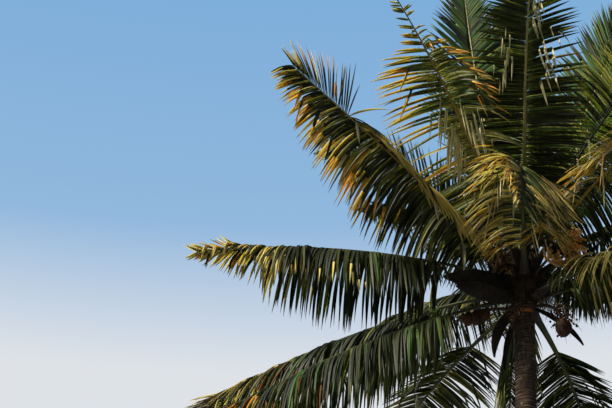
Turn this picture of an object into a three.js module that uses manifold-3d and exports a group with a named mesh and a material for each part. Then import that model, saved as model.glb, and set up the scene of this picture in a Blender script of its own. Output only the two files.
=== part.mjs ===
// Coconut palm: a leaning ringed trunk, the heart of leaf bases with its spear leaf, a full crown
// of feather fronds, and the flower and fruit stalks that hang from the leaf axils.
// Millimetres, +Z up. The origin is the centre of the flat cut at ground level.
// The crown leans towards +X, and -Y is the side that the fronds' undersides are seen from.
import * as THREE from "three";
import { mergeVertices } from "three/addons/utils/BufferGeometryUtils.js";
import Module from "manifold-3d";

const wasm = await Module();
wasm.setup();
const { Manifold } = wasm;

// Driving dimensions.
const trunkHeight = 9800;
const trunkLean = 0.119; // slope of the stem at the ground
const trunkStraightening = 1.74e-6; // slope lost per millimetre of height, halved
const trunkGirth = [
  // height, radius: a swollen foot that flares at the ground, then a slow taper
  [0, 330],
  [90, 285],
  [260, 238],
  [600, 204],
  [1200, 178],
  [2200, 160],
  [4200, 149],
  [6600, 140],
  [8600, 133],
  [9500, 131],
  [trunkHeight, 136],
];
const heartGirth = [
  // height above the trunk's top, radius: leaf bases, then the closed spear leaf to its tip
  [0, 138],
  [140, 176],
  [420, 184],
  [680, 150],
  [900, 96],
  [1150, 52],
  [1500, 40],
  [2300, 30],
  [3100, 4],
];
const seatRadius = 90; // how far from the stem's axis a stalk starts
const gap = 0.3; // clearance between touching solids
const stemGap = 0.36; // how much wider than the stem the stalks' cut is
const leafClearance = 4; // least distance from a leaflet to another frond
const leafSearch = 6; // how far that distance is measured
const weld = 0.01; // corners of a three.js shape this close are one

// A frond's own proportions, shared by all.
const petioleShare = 0.13; // bare stalk, as a share of the rib, where a frond states no other
const petioleSteps = 4;
const leafSteps = 17; // leaflets on each side
const ribWidth = { base: 120, stalk: 72, tip: 12 };
const ribDepth = { base: 66, stalk: 50, tip: 12 };
const ribTaper = 0.6; // below 1, the rib narrows most just past the stalk
const ribTop = 0.6; // width of a rib's upper side, as a share of its lower side
const leaflets = {
  length: 1150,
  thickness: 13,
  waist: 0.4, // half width at the middle, as a share of the spacing
  off: 86, // angle off the rib by the stalk
  closing: 0.5, // the share of that angle lost by the tip
  tipLift: 16, // their angle above the blade by the tip
  wornFrom: 0.6, // where a worn frond's leaflets start to be shorter
  wornOver: 0.16,
  closingPower: 1.6,
  liftPower: 2,
  droopPower: 0.9,
  firstHalf: 0.25, // where the headings of a leaflet's two halves are taken
  lastHalf: 0.75,
};
// A leaflet's share of the full length: from is the first one's and to the last one's.
const swell = { from: 0.7, over: 0.3, fullTo: 0.4, to: 0.3, power: 1.4 };
const comb = {
  start: 0.7,
  over: 0.03,
  end: 0.93,
  first: 950, // the length of its first leaflet
  last: 550,
  fan: 60,
  fanEnd: 1.05,
  level: 70,
};
const shorterTries = [1, 0.72, 0.45];

// Each frond: seat is its height on the heart, bearing its compass angle from +X, rise its first
// pitch, fall the pitch it loses by the tip, swing the turn of its bearing, twist the turn of its
// blade, hang how far its leaflets droop, leftHang how far the left ones do where that differs,
// and lift their first angle above the blade. Stalk is its own bare share, stout how much thicker
// it is, leaf its leaflets' length, spread their angle off the rib, and worn how much of them is
// left near its tip. On one frond the left leaflets are swept back along the rib, and stand up
// from it as a comb near the tip.
const old = { hang: 3, lift: -30 };
const grown = { hang: 1.4, lift: -6 };
const young = { hang: 0.5, lift: 8 };
const fronds = {
  // the lowest round, drooping below the level
  back_left_low: {
    ...old, seat: 90, bearing: 127, rise: -2, fall: 26, length: 4400, leaf: 0.85, hang: 0.6, lift: -14,
    stalk: 0.27, stout: 1.3,
  },
  back_right_low: {
    ...old, seat: 80, bearing: 73, rise: -1, fall: 27, swing: 9, length: 4450, leaf: 0.8, hang: 0.5,
    lift: -24, stalk: 0.3, stout: 1.55,
  },
  back_low: { ...old, seat: 160, bearing: 96, rise: 16, fall: 60, length: 4300, leaf: 0.85, hang: 8 },
  left_low: {
    ...old, seat: 130, bearing: 198, rise: -18, fall: 20, length: 4600, spread: 66, stalk: 0.22,
  },
  right_low: { ...old, seat: 80, bearing: 24, rise: 29, fall: 66, length: 4500, leaf: 0.55 },
  right_front_low: {
    ...old, seat: 100, bearing: -30, rise: 14, fall: 60, length: 4400, lift: 4, hang: 2.4, spread: 100,
  },
  // the long level round
  left_level: {
    ...old, seat: 250, bearing: 167, rise: 1, fall: 26, length: 4850, spread: 64, stalk: 0.22,
  },
  left_front_level: {
    ...old, seat: 380, bearing: 194, rise: 15, fall: 25, length: 4350, worn: 0.75, stalk: 0.235,
  },
  front_arched: {
    ...old, seat: 300, bearing: -86, rise: 36, fall: 112, swing: -14, length: 4500, lift: 4, hang: 1.8,
    leaf: 0.86, twist: -62,
  },
  right_level: { ...old, seat: 210, bearing: -6, rise: 28, fall: 74, length: 4700 },
  right_back_level: { ...old, seat: 220, bearing: 42, rise: 33, fall: 50, length: 4700, leaf: 0.6 },
  back_left_level: { ...old, seat: 290, bearing: 140, rise: 26, fall: 54, length: 4500 },
  // the round at half height
  left_front_mid: {
    ...grown, seat: 450, bearing: 217, rise: 36, fall: 21, swing: 16, length: 4200, twist: 30,
    hang: 2.1, swept: 82, raised: 60,
  },
  right_front_mid: {
    ...grown, seat: 450, bearing: -43, rise: 39, fall: 62, length: 4750, hang: 1.3, spread: 108,
  },
  right_mid: { ...grown, seat: 390, bearing: 8, rise: 42, fall: 66, length: 4900 },
  back_right_mid: { ...grown, seat: 400, bearing: 58, rise: 44, fall: 56, length: 4700 },
  back_mid: { ...grown, seat: 470, bearing: 96, rise: 46, fall: 60, length: 4700 },
  left_mid: { ...grown, seat: 440, bearing: 146, rise: 60, fall: 42, length: 3600 },
  // the steep round
  left_front_high: {
    ...grown, seat: 530, bearing: 248, rise: 47, fall: 53, swing: 7, length: 4800, leaf: 0.92,
    worn: 0.32, hang: 0.45, leftHang: 1.5, spread: 94,
  },
  front_high: {
    ...young, seat: 630, bearing: -83, rise: 54, fall: 69, swing: -4, length: 4950, leaf: 0.78,
    hang: 0.3, lift: 0, spread: 92,
  },
  right_front_high: { ...young, seat: 640, bearing: -35, rise: 60, fall: 58, length: 5000 },
  back_right_high: { ...young, seat: 600, bearing: 48, rise: 64, fall: 54, length: 5000 },
  back_high: { ...young, seat: 650, bearing: 92, rise: 66, fall: 50, length: 4900 },
  left_high: { ...young, seat: 600, bearing: 184, rise: 58, fall: 40, length: 3500 },
  // the youngest, round the spear
  left_upright: {
    ...young, seat: 720, bearing: 140, rise: 80, fall: -6, swing: -40, length: 5500, spread: 54,
    leaf: 1.15,
  },
  right_upright: {
    ...young, seat: 730, bearing: 10, rise: 69, fall: 8, length: 5400, spread: 48, twist: 120,
  },
  back_upright: {
    ...young, seat: 860, bearing: 76, rise: 84, fall: 12, swing: 30, length: 5000, spread: 58,
  },
};
const splitFall = 90; // a frond that bends further than this is two solids, split at the bend
const bendShare = 0.35; // where that bend is, as a share of the blade

// Flower and fruit stalks, laid out like the fronds' ribs: those that leave the trunk below the
// crown bear the older fruit. Strings are the twigs of a stalk, splayed off it and long as
// stated. A nut sits at its share of the stalk's length and is sunk below it; a nut's size is
// its radius. Blade is the length of a dry sheath that hangs from the stalk's end.
const bunches = {
  fruit_right: {
    seat: -50, bearing: -22, rise: 6, fall: 92, length: 620, thick: 26, strings: 12, reach: 340,
    nuts: [{ share: 1, radius: 106, sink: 112 }],
  },
  fruit_left: {
    seat: -50, bearing: 178, rise: 16, fall: 46, length: 880, thick: 28, strings: 3, reach: 220,
    nuts: [
      { share: 0.52, radius: 74, sink: 70 },
      { share: 0.66, radius: 82, sink: 84 },
      { share: 0.8, radius: 72, sink: 66 },
    ],
    blade: 520,
  },
  fruit_back: {
    seat: -60, bearing: 96, rise: 6, fall: 92, length: 700, thick: 28, strings: 6, reach: 240,
    nuts: [
      { share: 0.7, radius: 92, sink: 88 },
      { share: 0.86, radius: 98, sink: 90 },
      { share: 1, radius: 104, sink: 96 },
    ],
  },
  buttons_front: {
    seat: -60, bearing: 250, rise: -6, fall: 80, length: 520, thick: 22, strings: 9, reach: 260,
  },
  flowers_right: {
    seat: 310, bearing: -48, rise: 27, fall: 22, length: 840, thick: 24, strings: 17, reach: 360,
  },
  flowers_left: {
    seat: 300, bearing: 238, rise: 34, fall: 26, length: 560, thick: 24, strings: 10, reach: 260,
  },
  flowers_back: {
    seat: 330, bearing: 120, rise: 42, fall: 20, length: 600, thick: 24, strings: 10, reach: 280,
  },
};
const nutStretch = 1.16; // a nut is this much taller than wide
const nutFacets = { round: 9, tall: 6 };
const bunchStalk = { taper: 0.5, steps: 4, sides: 6 };
const strings = { thick: 10, taper: 0.6, sides: 3, from: 0.45, splay: 48, sag: 0.25 };
// Dry sheaths: boat-shaped blades that narrow at both ends, some rolled on their side. The
// hanging one is under a fruit stalk.
const sheaths = {
  sheath_left: {
    seat: -50, bearing: 206, rise: -38, fall: 52, length: 940, wide: 150, thick: 28, roll: 75,
  },
  sheath_back: { seat: -50, bearing: 148, rise: -52, fall: 36, length: 860, wide: 120, thick: 28 },
  sheath_level: {
    seat: 260, bearing: 211, rise: 2, fall: 12, length: 1120, wide: 260, thick: 40, roll: 55,
  },
  sheath_low: {
    seat: 20, bearing: 221, rise: 2, fall: 10, length: 1050, wide: 240, thick: 40, roll: 50,
  },
  sheath_right: {
    seat: -30, bearing: 8, rise: -24, fall: 40, length: 860, wide: 140, thick: 28, roll: 60,
  },
};
const boat = {
  pace: 1.1,
  from: 0.1,
  fullness: 0.7, // below 1 for blunter ends
  tipLoss: 0.6,
  tipPower: 6,
  thinning: 0.5,
  steps: 8,
  sides: 6,
};
const hanging = { pitch: -86, from: 0.97, edge: 6, belly: 54, power: 0.8, thick: 9, steps: 5, sides: 6 };
const goldenAngle = 137.5;

const degrees = Math.PI / 180;
const up = new THREE.Vector3(0, 0, 1);

function stemPoint(height) {
  return new THREE.Vector3(height * (trunkLean - trunkStraightening * height), 0, height);
}

function heading(bearing, pitch) {
  const b = bearing * degrees;
  const p = pitch * degrees;
  return new THREE.Vector3(Math.cos(b) * Math.cos(p), Math.sin(b) * Math.cos(p), Math.sin(p));
}

// The rib is one cubic curve of three equal legs, whose pitch and bearing change from leg to leg.
function ribCurve({ seat, bearing, rise, fall, swing = 0, length }) {
  const leg = length / 3;
  const start = stemPoint(trunkHeight + seat).addScaledVector(heading(bearing, 0), seatRadius);
  const knee = start.clone().addScaledVector(heading(bearing, rise), leg);
  const wrist = knee.clone().addScaledVector(heading(bearing + swing * 0.4, rise - fall * 0.4), leg);
  const tip = wrist.clone().addScaledVector(heading(bearing + swing, rise - fall), leg);
  return new THREE.CubicBezierCurve3(start, knee, wrist, tip);
}

// Where the rib is at a share s of its length, with its own left and upward directions.
function ribFrame(frond, curve, s) {
  const along = curve.getTangent(s);
  const across = heading(frond.bearing + (frond.swing ?? 0) * s + 90, 0);
  const above = new THREE.Vector3().crossVectors(along, across).normalize();
  above.applyAxisAngle(along, ((frond.roll ?? 0) + (frond.twist ?? 0) * s) * degrees);
  const left = new THREE.Vector3().crossVectors(above, along);
  return { at: curve.getPoint(s), along, left, above };
}

const mix = THREE.MathUtils.lerp;
const clamp01 = (x) => Math.min(1, Math.max(0, x));
const ease = (x) => THREE.MathUtils.smoothstep(x, 0, 1);

function ribSize(size, s, stout = 1) {
  const stalk = size.stalk * stout;
  if (s < petioleShare) return mix(size.base, stalk, Math.sqrt(s / petioleShare));
  return mix(stalk, size.tip, ((s - petioleShare) / (1 - petioleShare)) ** ribTaper);
}

// Short by the stalk, longest at a third of the blade, shortest at the tip.
function leafletShare(t) {
  const growing = mix(swell.from, 1, Math.sin(clamp01(t / swell.over) * (Math.PI / 2)));
  const past = clamp01((t - swell.fullTo) / (1 - swell.fullTo));
  return growing * mix(1, swell.to, past ** swell.power);
}

// How far the leaflet at share t of the blade stands up as part of the comb, in degrees.
function raisedAngle(frond, side, t) {
  return side > 0 ? (frond.raised ?? 0) * ease((t - comb.start) / comb.over) : 0;
}

function leafletSize(frond, side, t) {
  if (raisedAngle(frond, side, t) > 0 && t < comb.end) {
    return mix(comb.first, comb.last, (t - comb.start) / (1 - comb.start));
  }
  const worn = 1 - (1 - (frond.worn ?? 1)) * ease((t - leaflets.wornFrom) / leaflets.wornOver);
  return leaflets.length * (frond.leaf ?? 1) * leafletShare(t) * worn;
}

// The way a leaflet runs at share q of its own length.
function leafletHeading(frond, frame, side, t, q) {
  const raised = raisedAngle(frond, side, t);
  const swept = side > 0 && raised === 0 ? (frond.swept ?? 0) : 0;
  const fan = raised > 0 ? comb.fan * (comb.fanEnd - t) : 0;
  const spread = (frond.spread ?? leaflets.off) * (1 - leaflets.closing * t ** leaflets.closingPower);
  const off = (spread + swept + fan) * degrees;
  const lift = (mix(frond.lift, leaflets.tipLift, t ** leaflets.liftPower) + raised) * degrees;
  const droop = side > 0 ? (frond.leftHang ?? frond.hang) : frond.hang;
  const hang = droop * leafletShare(t) * (1 - raised / comb.level);
  return frame.along
    .clone()
    .multiplyScalar(Math.cos(off))
    .addScaledVector(frame.left, side * Math.sin(off) * Math.cos(lift))
    .addScaledVector(frame.above, Math.sin(off) * Math.sin(lift))
    .addScaledVector(up, -hang * q ** leaflets.droopPower)
    .normalize();
}

// A mesh under construction: points by index, and faces that turn outwards.
class Shell {
  points = [];
  faces = [];
  add(point) {
    return this.points.push(point) - 1;
  }
  face(a, b, c, flipped = false) {
    this.faces.push(flipped ? [a, c, b] : [a, b, c]);
  }
  quad(a, b, c, d, flipped = false) {
    this.face(a, b, c, flipped);
    this.face(a, c, d, flipped);
  }
  solid() {
    return new Manifold(
      new wasm.Mesh({
        numProp: 3,
        vertProperties: new Float32Array(this.points.flatMap((p) => p.toArray())),
        triVerts: new Uint32Array(this.faces.flat()),
      }),
    );
  }
}

// Joins a leaflet to four root points: near and far along the rib, each above and below.
function addLeaflet(shell, root, leaflet, flipped) {
  const near = shell.add(leaflet.near);
  const far = shell.add(leaflet.far);
  const ridge = shell.add(leaflet.ridge);
  const tip = shell.add(leaflet.tip);
  shell.face(root.nearAbove, root.farAbove, ridge, flipped);
  shell.face(root.nearAbove, ridge, near, flipped);
  shell.face(root.farAbove, far, ridge, flipped);
  shell.quad(root.nearBelow, near, far, root.farBelow, flipped);
  shell.face(root.nearAbove, near, root.nearBelow, flipped);
  shell.face(root.farAbove, root.farBelow, far, flipped);
  shell.face(near, ridge, tip, flipped);
  shell.face(ridge, far, tip, flipped);
  shell.face(far, near, tip, flipped);
}

// Every ring of the rib, and the leaflets that its two sides would carry.
function frondPlan(frond) {
  const curve = ribCurve(frond);
  const stalk = frond.stalk ?? petioleShare;
  const rings = [];
  for (let k = 0; k <= petioleSteps + leafSteps; k++) {
    const t = Math.max(0, k - petioleSteps) / leafSteps;
    const s = k < petioleSteps ? (stalk * k) / petioleSteps : mix(stalk, 1, t);
    const frame = ribFrame(frond, curve, s);
    const wide = ribSize(ribWidth, s, frond.stout) / 2;
    const deep = ribSize(ribDepth, s, frond.stout) / 2;
    const corner = (x, z) =>
      frame.at.clone().addScaledVector(frame.left, x).addScaledVector(frame.above, z);
    rings.push({
      frame,
      leftAbove: corner(wide * ribTop, deep),
      leftBelow: corner(wide, -deep),
      rightBelow: corner(-wide, -deep),
      rightAbove: corner(-wide * ribTop, deep),
    });
  }
  const places = [];
  for (let k = 0; k < leafSteps; k++) {
    for (const side of [1, -1]) places.push({ k: k + petioleSteps, side, t: (k + 0.5) / leafSteps });
  }
  return { frond, curve, stalk, rings, places };
}

function shapeLeaflet(plan, { k, side, t }, shortened) {
  const { frond, curve, stalk, rings } = plan;
  const frame = ribFrame(frond, curve, mix(stalk, 1, t));
  const half = (leafletSize(frond, side, t) * shortened) / 2;
  const root = rings[k].frame.at.clone().add(rings[k + 1].frame.at).multiplyScalar(0.5);
  const waist = leaflets.waist * rings[k].frame.at.distanceTo(rings[k + 1].frame.at);
  const first = leafletHeading(frond, frame, side, t, leaflets.firstHalf);
  const last = leafletHeading(frond, frame, side, t, leaflets.lastHalf);
  const middle = root.clone().addScaledVector(first, half);
  const across = frame.along.clone().addScaledVector(first, -frame.along.dot(first)).normalize();
  const above = new THREE.Vector3().crossVectors(across, first).multiplyScalar(side);
  return {
    near: middle.clone().addScaledVector(across, -waist),
    far: middle.clone().addScaledVector(across, waist),
    ridge: middle.clone().addScaledVector(above, leaflets.thickness),
    tip: middle.clone().addScaledVector(last, half),
  };
}

const leftCorners = { above: "leftAbove", below: "leftBelow" };
const rightCorners = { above: "rightAbove", below: "rightBelow" };

// One leaflet as a closed solid of its own, to test what it would touch.
function leafletSolid(plan, { k, side }, shape) {
  const { above, below } = side > 0 ? leftCorners : rightCorners;
  const shell = new Shell();
  const root = {
    nearAbove: shell.add(plan.rings[k][above]),
    farAbove: shell.add(plan.rings[k + 1][above]),
    nearBelow: shell.add(plan.rings[k][below]),
    farBelow: shell.add(plan.rings[k + 1][below]),
  };
  addLeaflet(shell, root, shape, side < 0);
  shell.quad(root.nearAbove, root.nearBelow, root.farBelow, root.farAbove, side < 0);
  return shell.solid();
}

// The frond as one closed blade from ring first to ring last: its rib is a four-sided bar whose
// side wall opens into a leaflet wherever one is kept.
function frondSolid(plan, kept, first = 0, last = plan.rings.length - 1) {
  const shell = new Shell();
  const rings = plan.rings.slice(first, last + 1).map((ring, i) => {
    const shift = ring.frame.along.clone().multiplyScalar(first > 0 && i === 0 ? gap : 0);
    const at = (corner) => shell.add(ring[corner].clone().add(shift));
    return {
      leftAbove: at("leftAbove"),
      leftBelow: at("leftBelow"),
      rightBelow: at("rightBelow"),
      rightAbove: at("rightAbove"),
    };
  });
  for (let i = 0; i + 1 < rings.length; i++) {
    const a = rings[i];
    const b = rings[i + 1];
    shell.quad(a.leftAbove, a.rightAbove, b.rightAbove, b.leftAbove);
    shell.quad(a.rightBelow, a.leftBelow, b.leftBelow, b.rightBelow);
    for (const side of [1, -1]) {
      const { above, below } = side > 0 ? leftCorners : rightCorners;
      const shape = kept.get(`${first + i}:${side}`);
      if (shape) {
        const root = {
          nearAbove: a[above],
          farAbove: b[above],
          nearBelow: a[below],
          farBelow: b[below],
        };
        addLeaflet(shell, root, shape, side < 0);
      } else {
        shell.quad(a[above], b[above], b[below], a[below], side < 0);
      }
    }
  }
  const start = rings[0];
  const end = rings[rings.length - 1];
  shell.quad(start.leftAbove, start.leftBelow, start.rightBelow, start.rightAbove);
  shell.quad(end.rightAbove, end.rightBelow, end.leftBelow, end.leftAbove);
  return shell.solid();
}

// A round column that follows the stem: rings of n points at the given heights and radii.
function column(profile, baseHeight, n) {
  const shell = new Shell();
  const rings = profile.map(([height, radius]) => {
    const centre = stemPoint(baseHeight + height);
    return Array.from({ length: n }, (_, i) => {
      const turn = (i / n) * 2 * Math.PI;
      const offset = new THREE.Vector3(Math.cos(turn), Math.sin(turn), 0).multiplyScalar(radius);
      return shell.add(centre.clone().add(offset));
    });
  });
  rings.slice(1).forEach((ring, j) => {
    for (let i = 0; i < n; i++) shell.quad(rings[j][i], rings[j][(i + 1) % n], ring[(i + 1) % n], ring[i]);
  });
  const topRing = rings[rings.length - 1];
  const bottom = shell.add(stemPoint(baseHeight + profile[0][0]));
  const top = shell.add(stemPoint(baseHeight + profile[profile.length - 1][0]));
  for (let i = 0; i < n; i++) {
    shell.face(bottom, rings[0][(i + 1) % n], rings[0][i]);
    shell.face(top, topRing[i], topRing[(i + 1) % n]);
  }
  return shell.solid();
}

// A closed bar swept along a curve. sizeAt gives its half width and half depth at each share.
function sweep(plan, curve, sizeAt, steps, sides) {
  const shell = new Shell();
  const rings = Array.from({ length: steps + 1 }, (_, j) => {
    const frame = ribFrame(plan, curve, j / steps);
    const [wide, deep] = sizeAt(j / steps);
    return Array.from({ length: sides }, (_, i) => {
      const turn = (i / sides) * 2 * Math.PI;
      const point = frame.at.clone().addScaledVector(frame.left, wide * Math.cos(turn));
      return shell.add(point.addScaledVector(frame.above, deep * Math.sin(turn)));
    });
  });
  for (let j = 0; j < steps; j++) {
    for (let i = 0; i < sides; i++) {
      const n = (i + 1) % sides;
      shell.quad(rings[j][i], rings[j][n], rings[j + 1][n], rings[j + 1][i]);
    }
  }
  for (let i = 1; i + 1 < sides; i++) {
    shell.face(rings[0][0], rings[0][i + 1], rings[0][i]);
    shell.face(rings[steps][0], rings[steps][i], rings[steps][i + 1]);
  }
  return shell.solid();
}

const trunkSides = 18;
const heartSides = 12;
const trunk = column(trunkGirth, 0, trunkSides);
const heart = column(heartGirth, trunkHeight, heartSides).translate([0, 0, gap]);
// What the stalks are cut by: the trunk and the heart, each a gap wider all round.
function room(girth, baseHeight, sides) {
  const [[bottom, radius], ...rest] = girth;
  const grown = [[bottom - gap, radius], ...rest].map(([height, r]) => [height, r + stemGap]);
  return column(grown, baseHeight, sides);
}
const heartRoom = room(heartGirth, trunkHeight, heartSides);
const trunkRoom = room(trunkGirth, 0, trunkSides);
const stemRoom = heartRoom.add(trunkRoom);

function keepLargest(solid) {
  return solid.decompose().reduce((a, b) => (a.volume() > b.volume() ? a : b));
}

// A named mesh of a solid, in a group whose own place is at the given origin.
function toMesh(name, solid, material, origin) {
  const { vertProperties, triVerts } = solid.translate(origin.clone().negate().toArray()).getMesh();
  const geometry = new THREE.BufferGeometry();
  geometry.setAttribute("position", new THREE.BufferAttribute(new Float32Array(vertProperties), 3));
  geometry.setIndex(new THREE.BufferAttribute(new Uint32Array(triVerts), 1));
  geometry.computeVertexNormals();
  const mesh = new THREE.Mesh(geometry, material);
  mesh.name = name;
  return mesh;
}

// A three.js geometry as a solid to join or cut.
function fromGeometry(geometry) {
  geometry.deleteAttribute("normal");
  geometry.deleteAttribute("uv");
  const merged = mergeVertices(geometry, weld);
  return new Manifold(
    new wasm.Mesh({
      numProp: 3,
      vertProperties: new Float32Array(merged.attributes.position.array),
      triVerts: new Uint32Array(merged.index.array),
    }),
  );
}

function nutSolid(radius, at) {
  const geometry = new THREE.SphereGeometry(radius, nutFacets.round, nutFacets.tall);
  geometry.rotateX(Math.PI / 2);
  geometry.scale(1, 1, nutStretch);
  geometry.translate(at.x, at.y, at.z);
  return fromGeometry(geometry);
}

// A thin tapering twig between two points.
function twigSolid(from, to) {
  const { thick, taper, sides } = strings;
  const geometry = new THREE.CylinderGeometry(thick * taper, thick, from.distanceTo(to), sides);
  const way = to.clone().sub(from).normalize();
  geometry.applyQuaternion(new THREE.Quaternion().setFromUnitVectors(new THREE.Vector3(0, 1, 0), way));
  const middle = from.clone().lerp(to, 0.5);
  geometry.translate(middle.x, middle.y, middle.z);
  return fromGeometry(geometry);
}

const bark = new THREE.MeshStandardMaterial({ color: 0x6b5a48, roughness: 0.95, metalness: 0 });
const husk = new THREE.MeshStandardMaterial({ color: 0x7a6a45, roughness: 0.9, metalness: 0 });
const blade = new THREE.MeshStandardMaterial({ color: 0x4c5a2a, roughness: 0.55, metalness: 0 });

const palm = new THREE.Group();
const ground = new THREE.Vector3();
palm.add(toMesh("trunk", trunk, bark, ground));

// The crown is a group of its own, placed on the trunk's top.
const trunkTop = stemPoint(trunkHeight);
const crown = new THREE.Group();
crown.position.copy(trunkTop);
palm.add(crown);
crown.add(toMesh("heart", heart, husk, trunkTop));

function boxesMeet(a, b, margin) {
  return [0, 1, 2].every((i) => a.min[i] - margin < b.max[i] && b.min[i] - margin < a.max[i]);
}

function touches(solid, others) {
  const box = solid.boundingBox();
  return others.some(
    (other) =>
      boxesMeet(box, other.boundingBox(), leafClearance) &&
      solid.minGap(other, leafSearch) < leafClearance,
  );
}

// Limbs first: every rib and stalk takes its place, then the twigs and leaflets that touch
// nothing are kept.
const plans = Object.entries(fronds).map(([name, frond]) => ({ name, ...frondPlan(frond) }));
const ribs = plans.map((plan) => frondSolid(plan, new Map()));
const placed = [trunk, heart];

for (const [name, sheath] of Object.entries(sheaths)) {
  const belly = (s) => Math.sin(Math.PI * clamp01(s * boat.pace - boat.from)) ** boat.fullness;
  const sizeAt = (s) => [
    mix(sheath.thick, sheath.wide / 2, belly(s)) * (1 - boat.tipLoss * s ** boat.tipPower),
    (sheath.thick / 2) * (1 - boat.thinning * s),
  ];
  const whole = sweep(sheath, ribCurve(sheath), sizeAt, boat.steps, boat.sides);
  const solid = keepLargest(whole.subtract(stemRoom));
  placed.push(solid);
  crown.add(toMesh(name, solid, bark, trunkTop));
}

function hangingBlade(from, bearing, length) {
  const end = from.clone().addScaledVector(heading(bearing, hanging.pitch), length);
  const { edge, belly, power, thick, steps, sides } = hanging;
  const wide = (s) => mix(edge, belly, Math.sin(Math.PI * s ** power) ** power);
  return sweep({ bearing }, new THREE.LineCurve3(from, end), (s) => [wide(s), thick], steps, sides);
}

function bunchString(bunch, curve, i) {
  const frame = ribFrame(bunch, curve, mix(strings.from, 1, (i + 0.5) / bunch.strings));
  const turn = i * goldenAngle * degrees;
  const off = strings.splay * degrees;
  const way = frame.along.clone().multiplyScalar(Math.cos(off));
  way.addScaledVector(frame.left, Math.sin(off) * Math.cos(turn));
  way.addScaledVector(frame.above, Math.sin(off) * Math.sin(turn));
  way.addScaledVector(up, -strings.sag).normalize();
  return twigSolid(frame.at, frame.at.clone().addScaledVector(way, bunch.reach));
}

function bunchSolid(bunch) {
  const curve = ribCurve(bunch);
  const sizeAt = (s) => Array(2).fill(bunch.thick * (1 - bunchStalk.taper * s));
  const parts = [sweep(bunch, curve, sizeAt, bunchStalk.steps, bunchStalk.sides)];
  for (let i = 0; i < bunch.strings; i++) {
    const twig = bunchString(bunch, curve, i);
    if (!touches(twig, [...placed, ...ribs])) parts.push(twig);
  }
  for (const nut of bunch.nuts ?? []) {
    const at = curve.getPoint(nut.share).addScaledVector(up, -nut.sink);
    parts.push(nutSolid(nut.radius, at));
  }
  if (bunch.blade) parts.push(hangingBlade(curve.getPoint(hanging.from), bunch.bearing, bunch.blade));
  return Manifold.union(parts);
}

for (const [name, bunch] of Object.entries(bunches)) {
  const solid = keepLargest(bunchSolid(bunch).subtract(stemRoom));
  placed.push(solid);
  crown.add(toMesh(name, solid, husk, trunkTop));
}

plans.forEach((plan, index) => {
  const kept = new Map();
  const own = [];
  const others = [...placed, ...ribs.filter((_, i) => i > index)];
  for (const leaflet of plan.places) {
    const apart = own.filter((o) => o.side !== leaflet.side || Math.abs(o.k - leaflet.k) > 1);
    for (const shortened of shorterTries) {
      const shape = shapeLeaflet(plan, leaflet, shortened);
      const solid = leafletSolid(plan, leaflet, shape);
      if (touches(solid, [...others, ...apart.map((o) => o.solid)])) continue;
      kept.set(`${leaflet.k}:${leaflet.side}`, shape);
      own.push({ ...leaflet, solid });
      break;
    }
  }
  const bend = petioleSteps + Math.round(leafSteps * bendShare);
  const spans =
    plan.frond.fall > splitFall
      ? { inner: [0, bend], outer: [bend, plan.rings.length - 1] }
      : { whole: [0, plan.rings.length - 1] };
  for (const [part, [first, last]] of Object.entries(spans)) {
    const solid = keepLargest(frondSolid(plan, kept, first, last).subtract(stemRoom));
    const name = part === "whole" ? `frond_${plan.name}` : `frond_${plan.name}_${part}`;
    placed.push(solid);
    crown.add(toMesh(name, solid, blade, trunkTop));
  }
});

export default palm;
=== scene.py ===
import math

import bmesh
import bpy
import numpy as np
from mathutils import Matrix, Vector


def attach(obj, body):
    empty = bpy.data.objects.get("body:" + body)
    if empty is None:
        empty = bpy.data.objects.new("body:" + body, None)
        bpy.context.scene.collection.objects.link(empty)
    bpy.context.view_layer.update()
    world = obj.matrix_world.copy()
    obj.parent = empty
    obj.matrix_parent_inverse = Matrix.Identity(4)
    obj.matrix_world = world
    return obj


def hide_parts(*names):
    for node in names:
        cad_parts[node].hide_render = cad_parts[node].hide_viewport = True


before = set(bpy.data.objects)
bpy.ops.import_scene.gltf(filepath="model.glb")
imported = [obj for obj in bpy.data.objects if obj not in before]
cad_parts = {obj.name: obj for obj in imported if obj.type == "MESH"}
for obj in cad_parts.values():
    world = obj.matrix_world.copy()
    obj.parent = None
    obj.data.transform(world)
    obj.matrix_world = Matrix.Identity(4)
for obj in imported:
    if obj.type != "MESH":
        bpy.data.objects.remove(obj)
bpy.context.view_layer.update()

# Coconut palm, metres, +Z up, origin at the centre of the cut at ground level.
# The crown leans towards +X, and -Y is the side that the photograph looks from.
print("frame loaded:", len(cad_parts), "solids")

upward = np.array([0.0, 0.0, 1.0])
goldenAngle = 137.5

# The palm's own rule, shared with the solids: a leaning stem, and one cubic curve for each rib.
stem = {"height": 9.8, "lean": 0.119, "straightening": 0.00174, "seatRadius": 0.09}
bentByWrist = 0.4  # the share of its fall and swing that a rib has two thirds of the way
trunkGirth = [  # height, radius
    (0, 0.330), (0.09, 0.285), (0.26, 0.238), (0.6, 0.204), (1.2, 0.178), (2.2, 0.160),
    (4.2, 0.149), (6.6, 0.140), (8.6, 0.133), (9.5, 0.131), (9.8, 0.136),
]
heartGirth = [  # height above the trunk's top, radius
    (0, 0.138), (0.14, 0.176), (0.42, 0.184), (0.68, 0.150), (0.9, 0.096), (1.15, 0.052),
    (1.5, 0.040), (2.3, 0.030), (3.1, 0.004),
]


def unit(vectors):
    return vectors / np.linalg.norm(vectors, axis=-1, keepdims=True)


def mix(a, b, share):
    return a + (b - a) * share


def easeIn(x):
    x = np.clip(x, 0, 1)
    return x * x * (3 - 2 * x)


# From 0 at the span's start to 1 where it has run its length.
def easeOver(x, span):
    return easeIn((x - span[0]) / span[1])


# From 0 at a start to 1 at 1, slower or faster by the power.
def riseFrom(x, start, power=1):
    return np.clip((x - start) / (1 - start), 0, 1) ** power


def middles(parts):  # the middles of equal parts of 1
    return (np.arange(parts) + 0.5) / parts


def ends(parts):  # where equal parts of 1 start and end
    return np.arange(parts + 1) / parts


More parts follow.
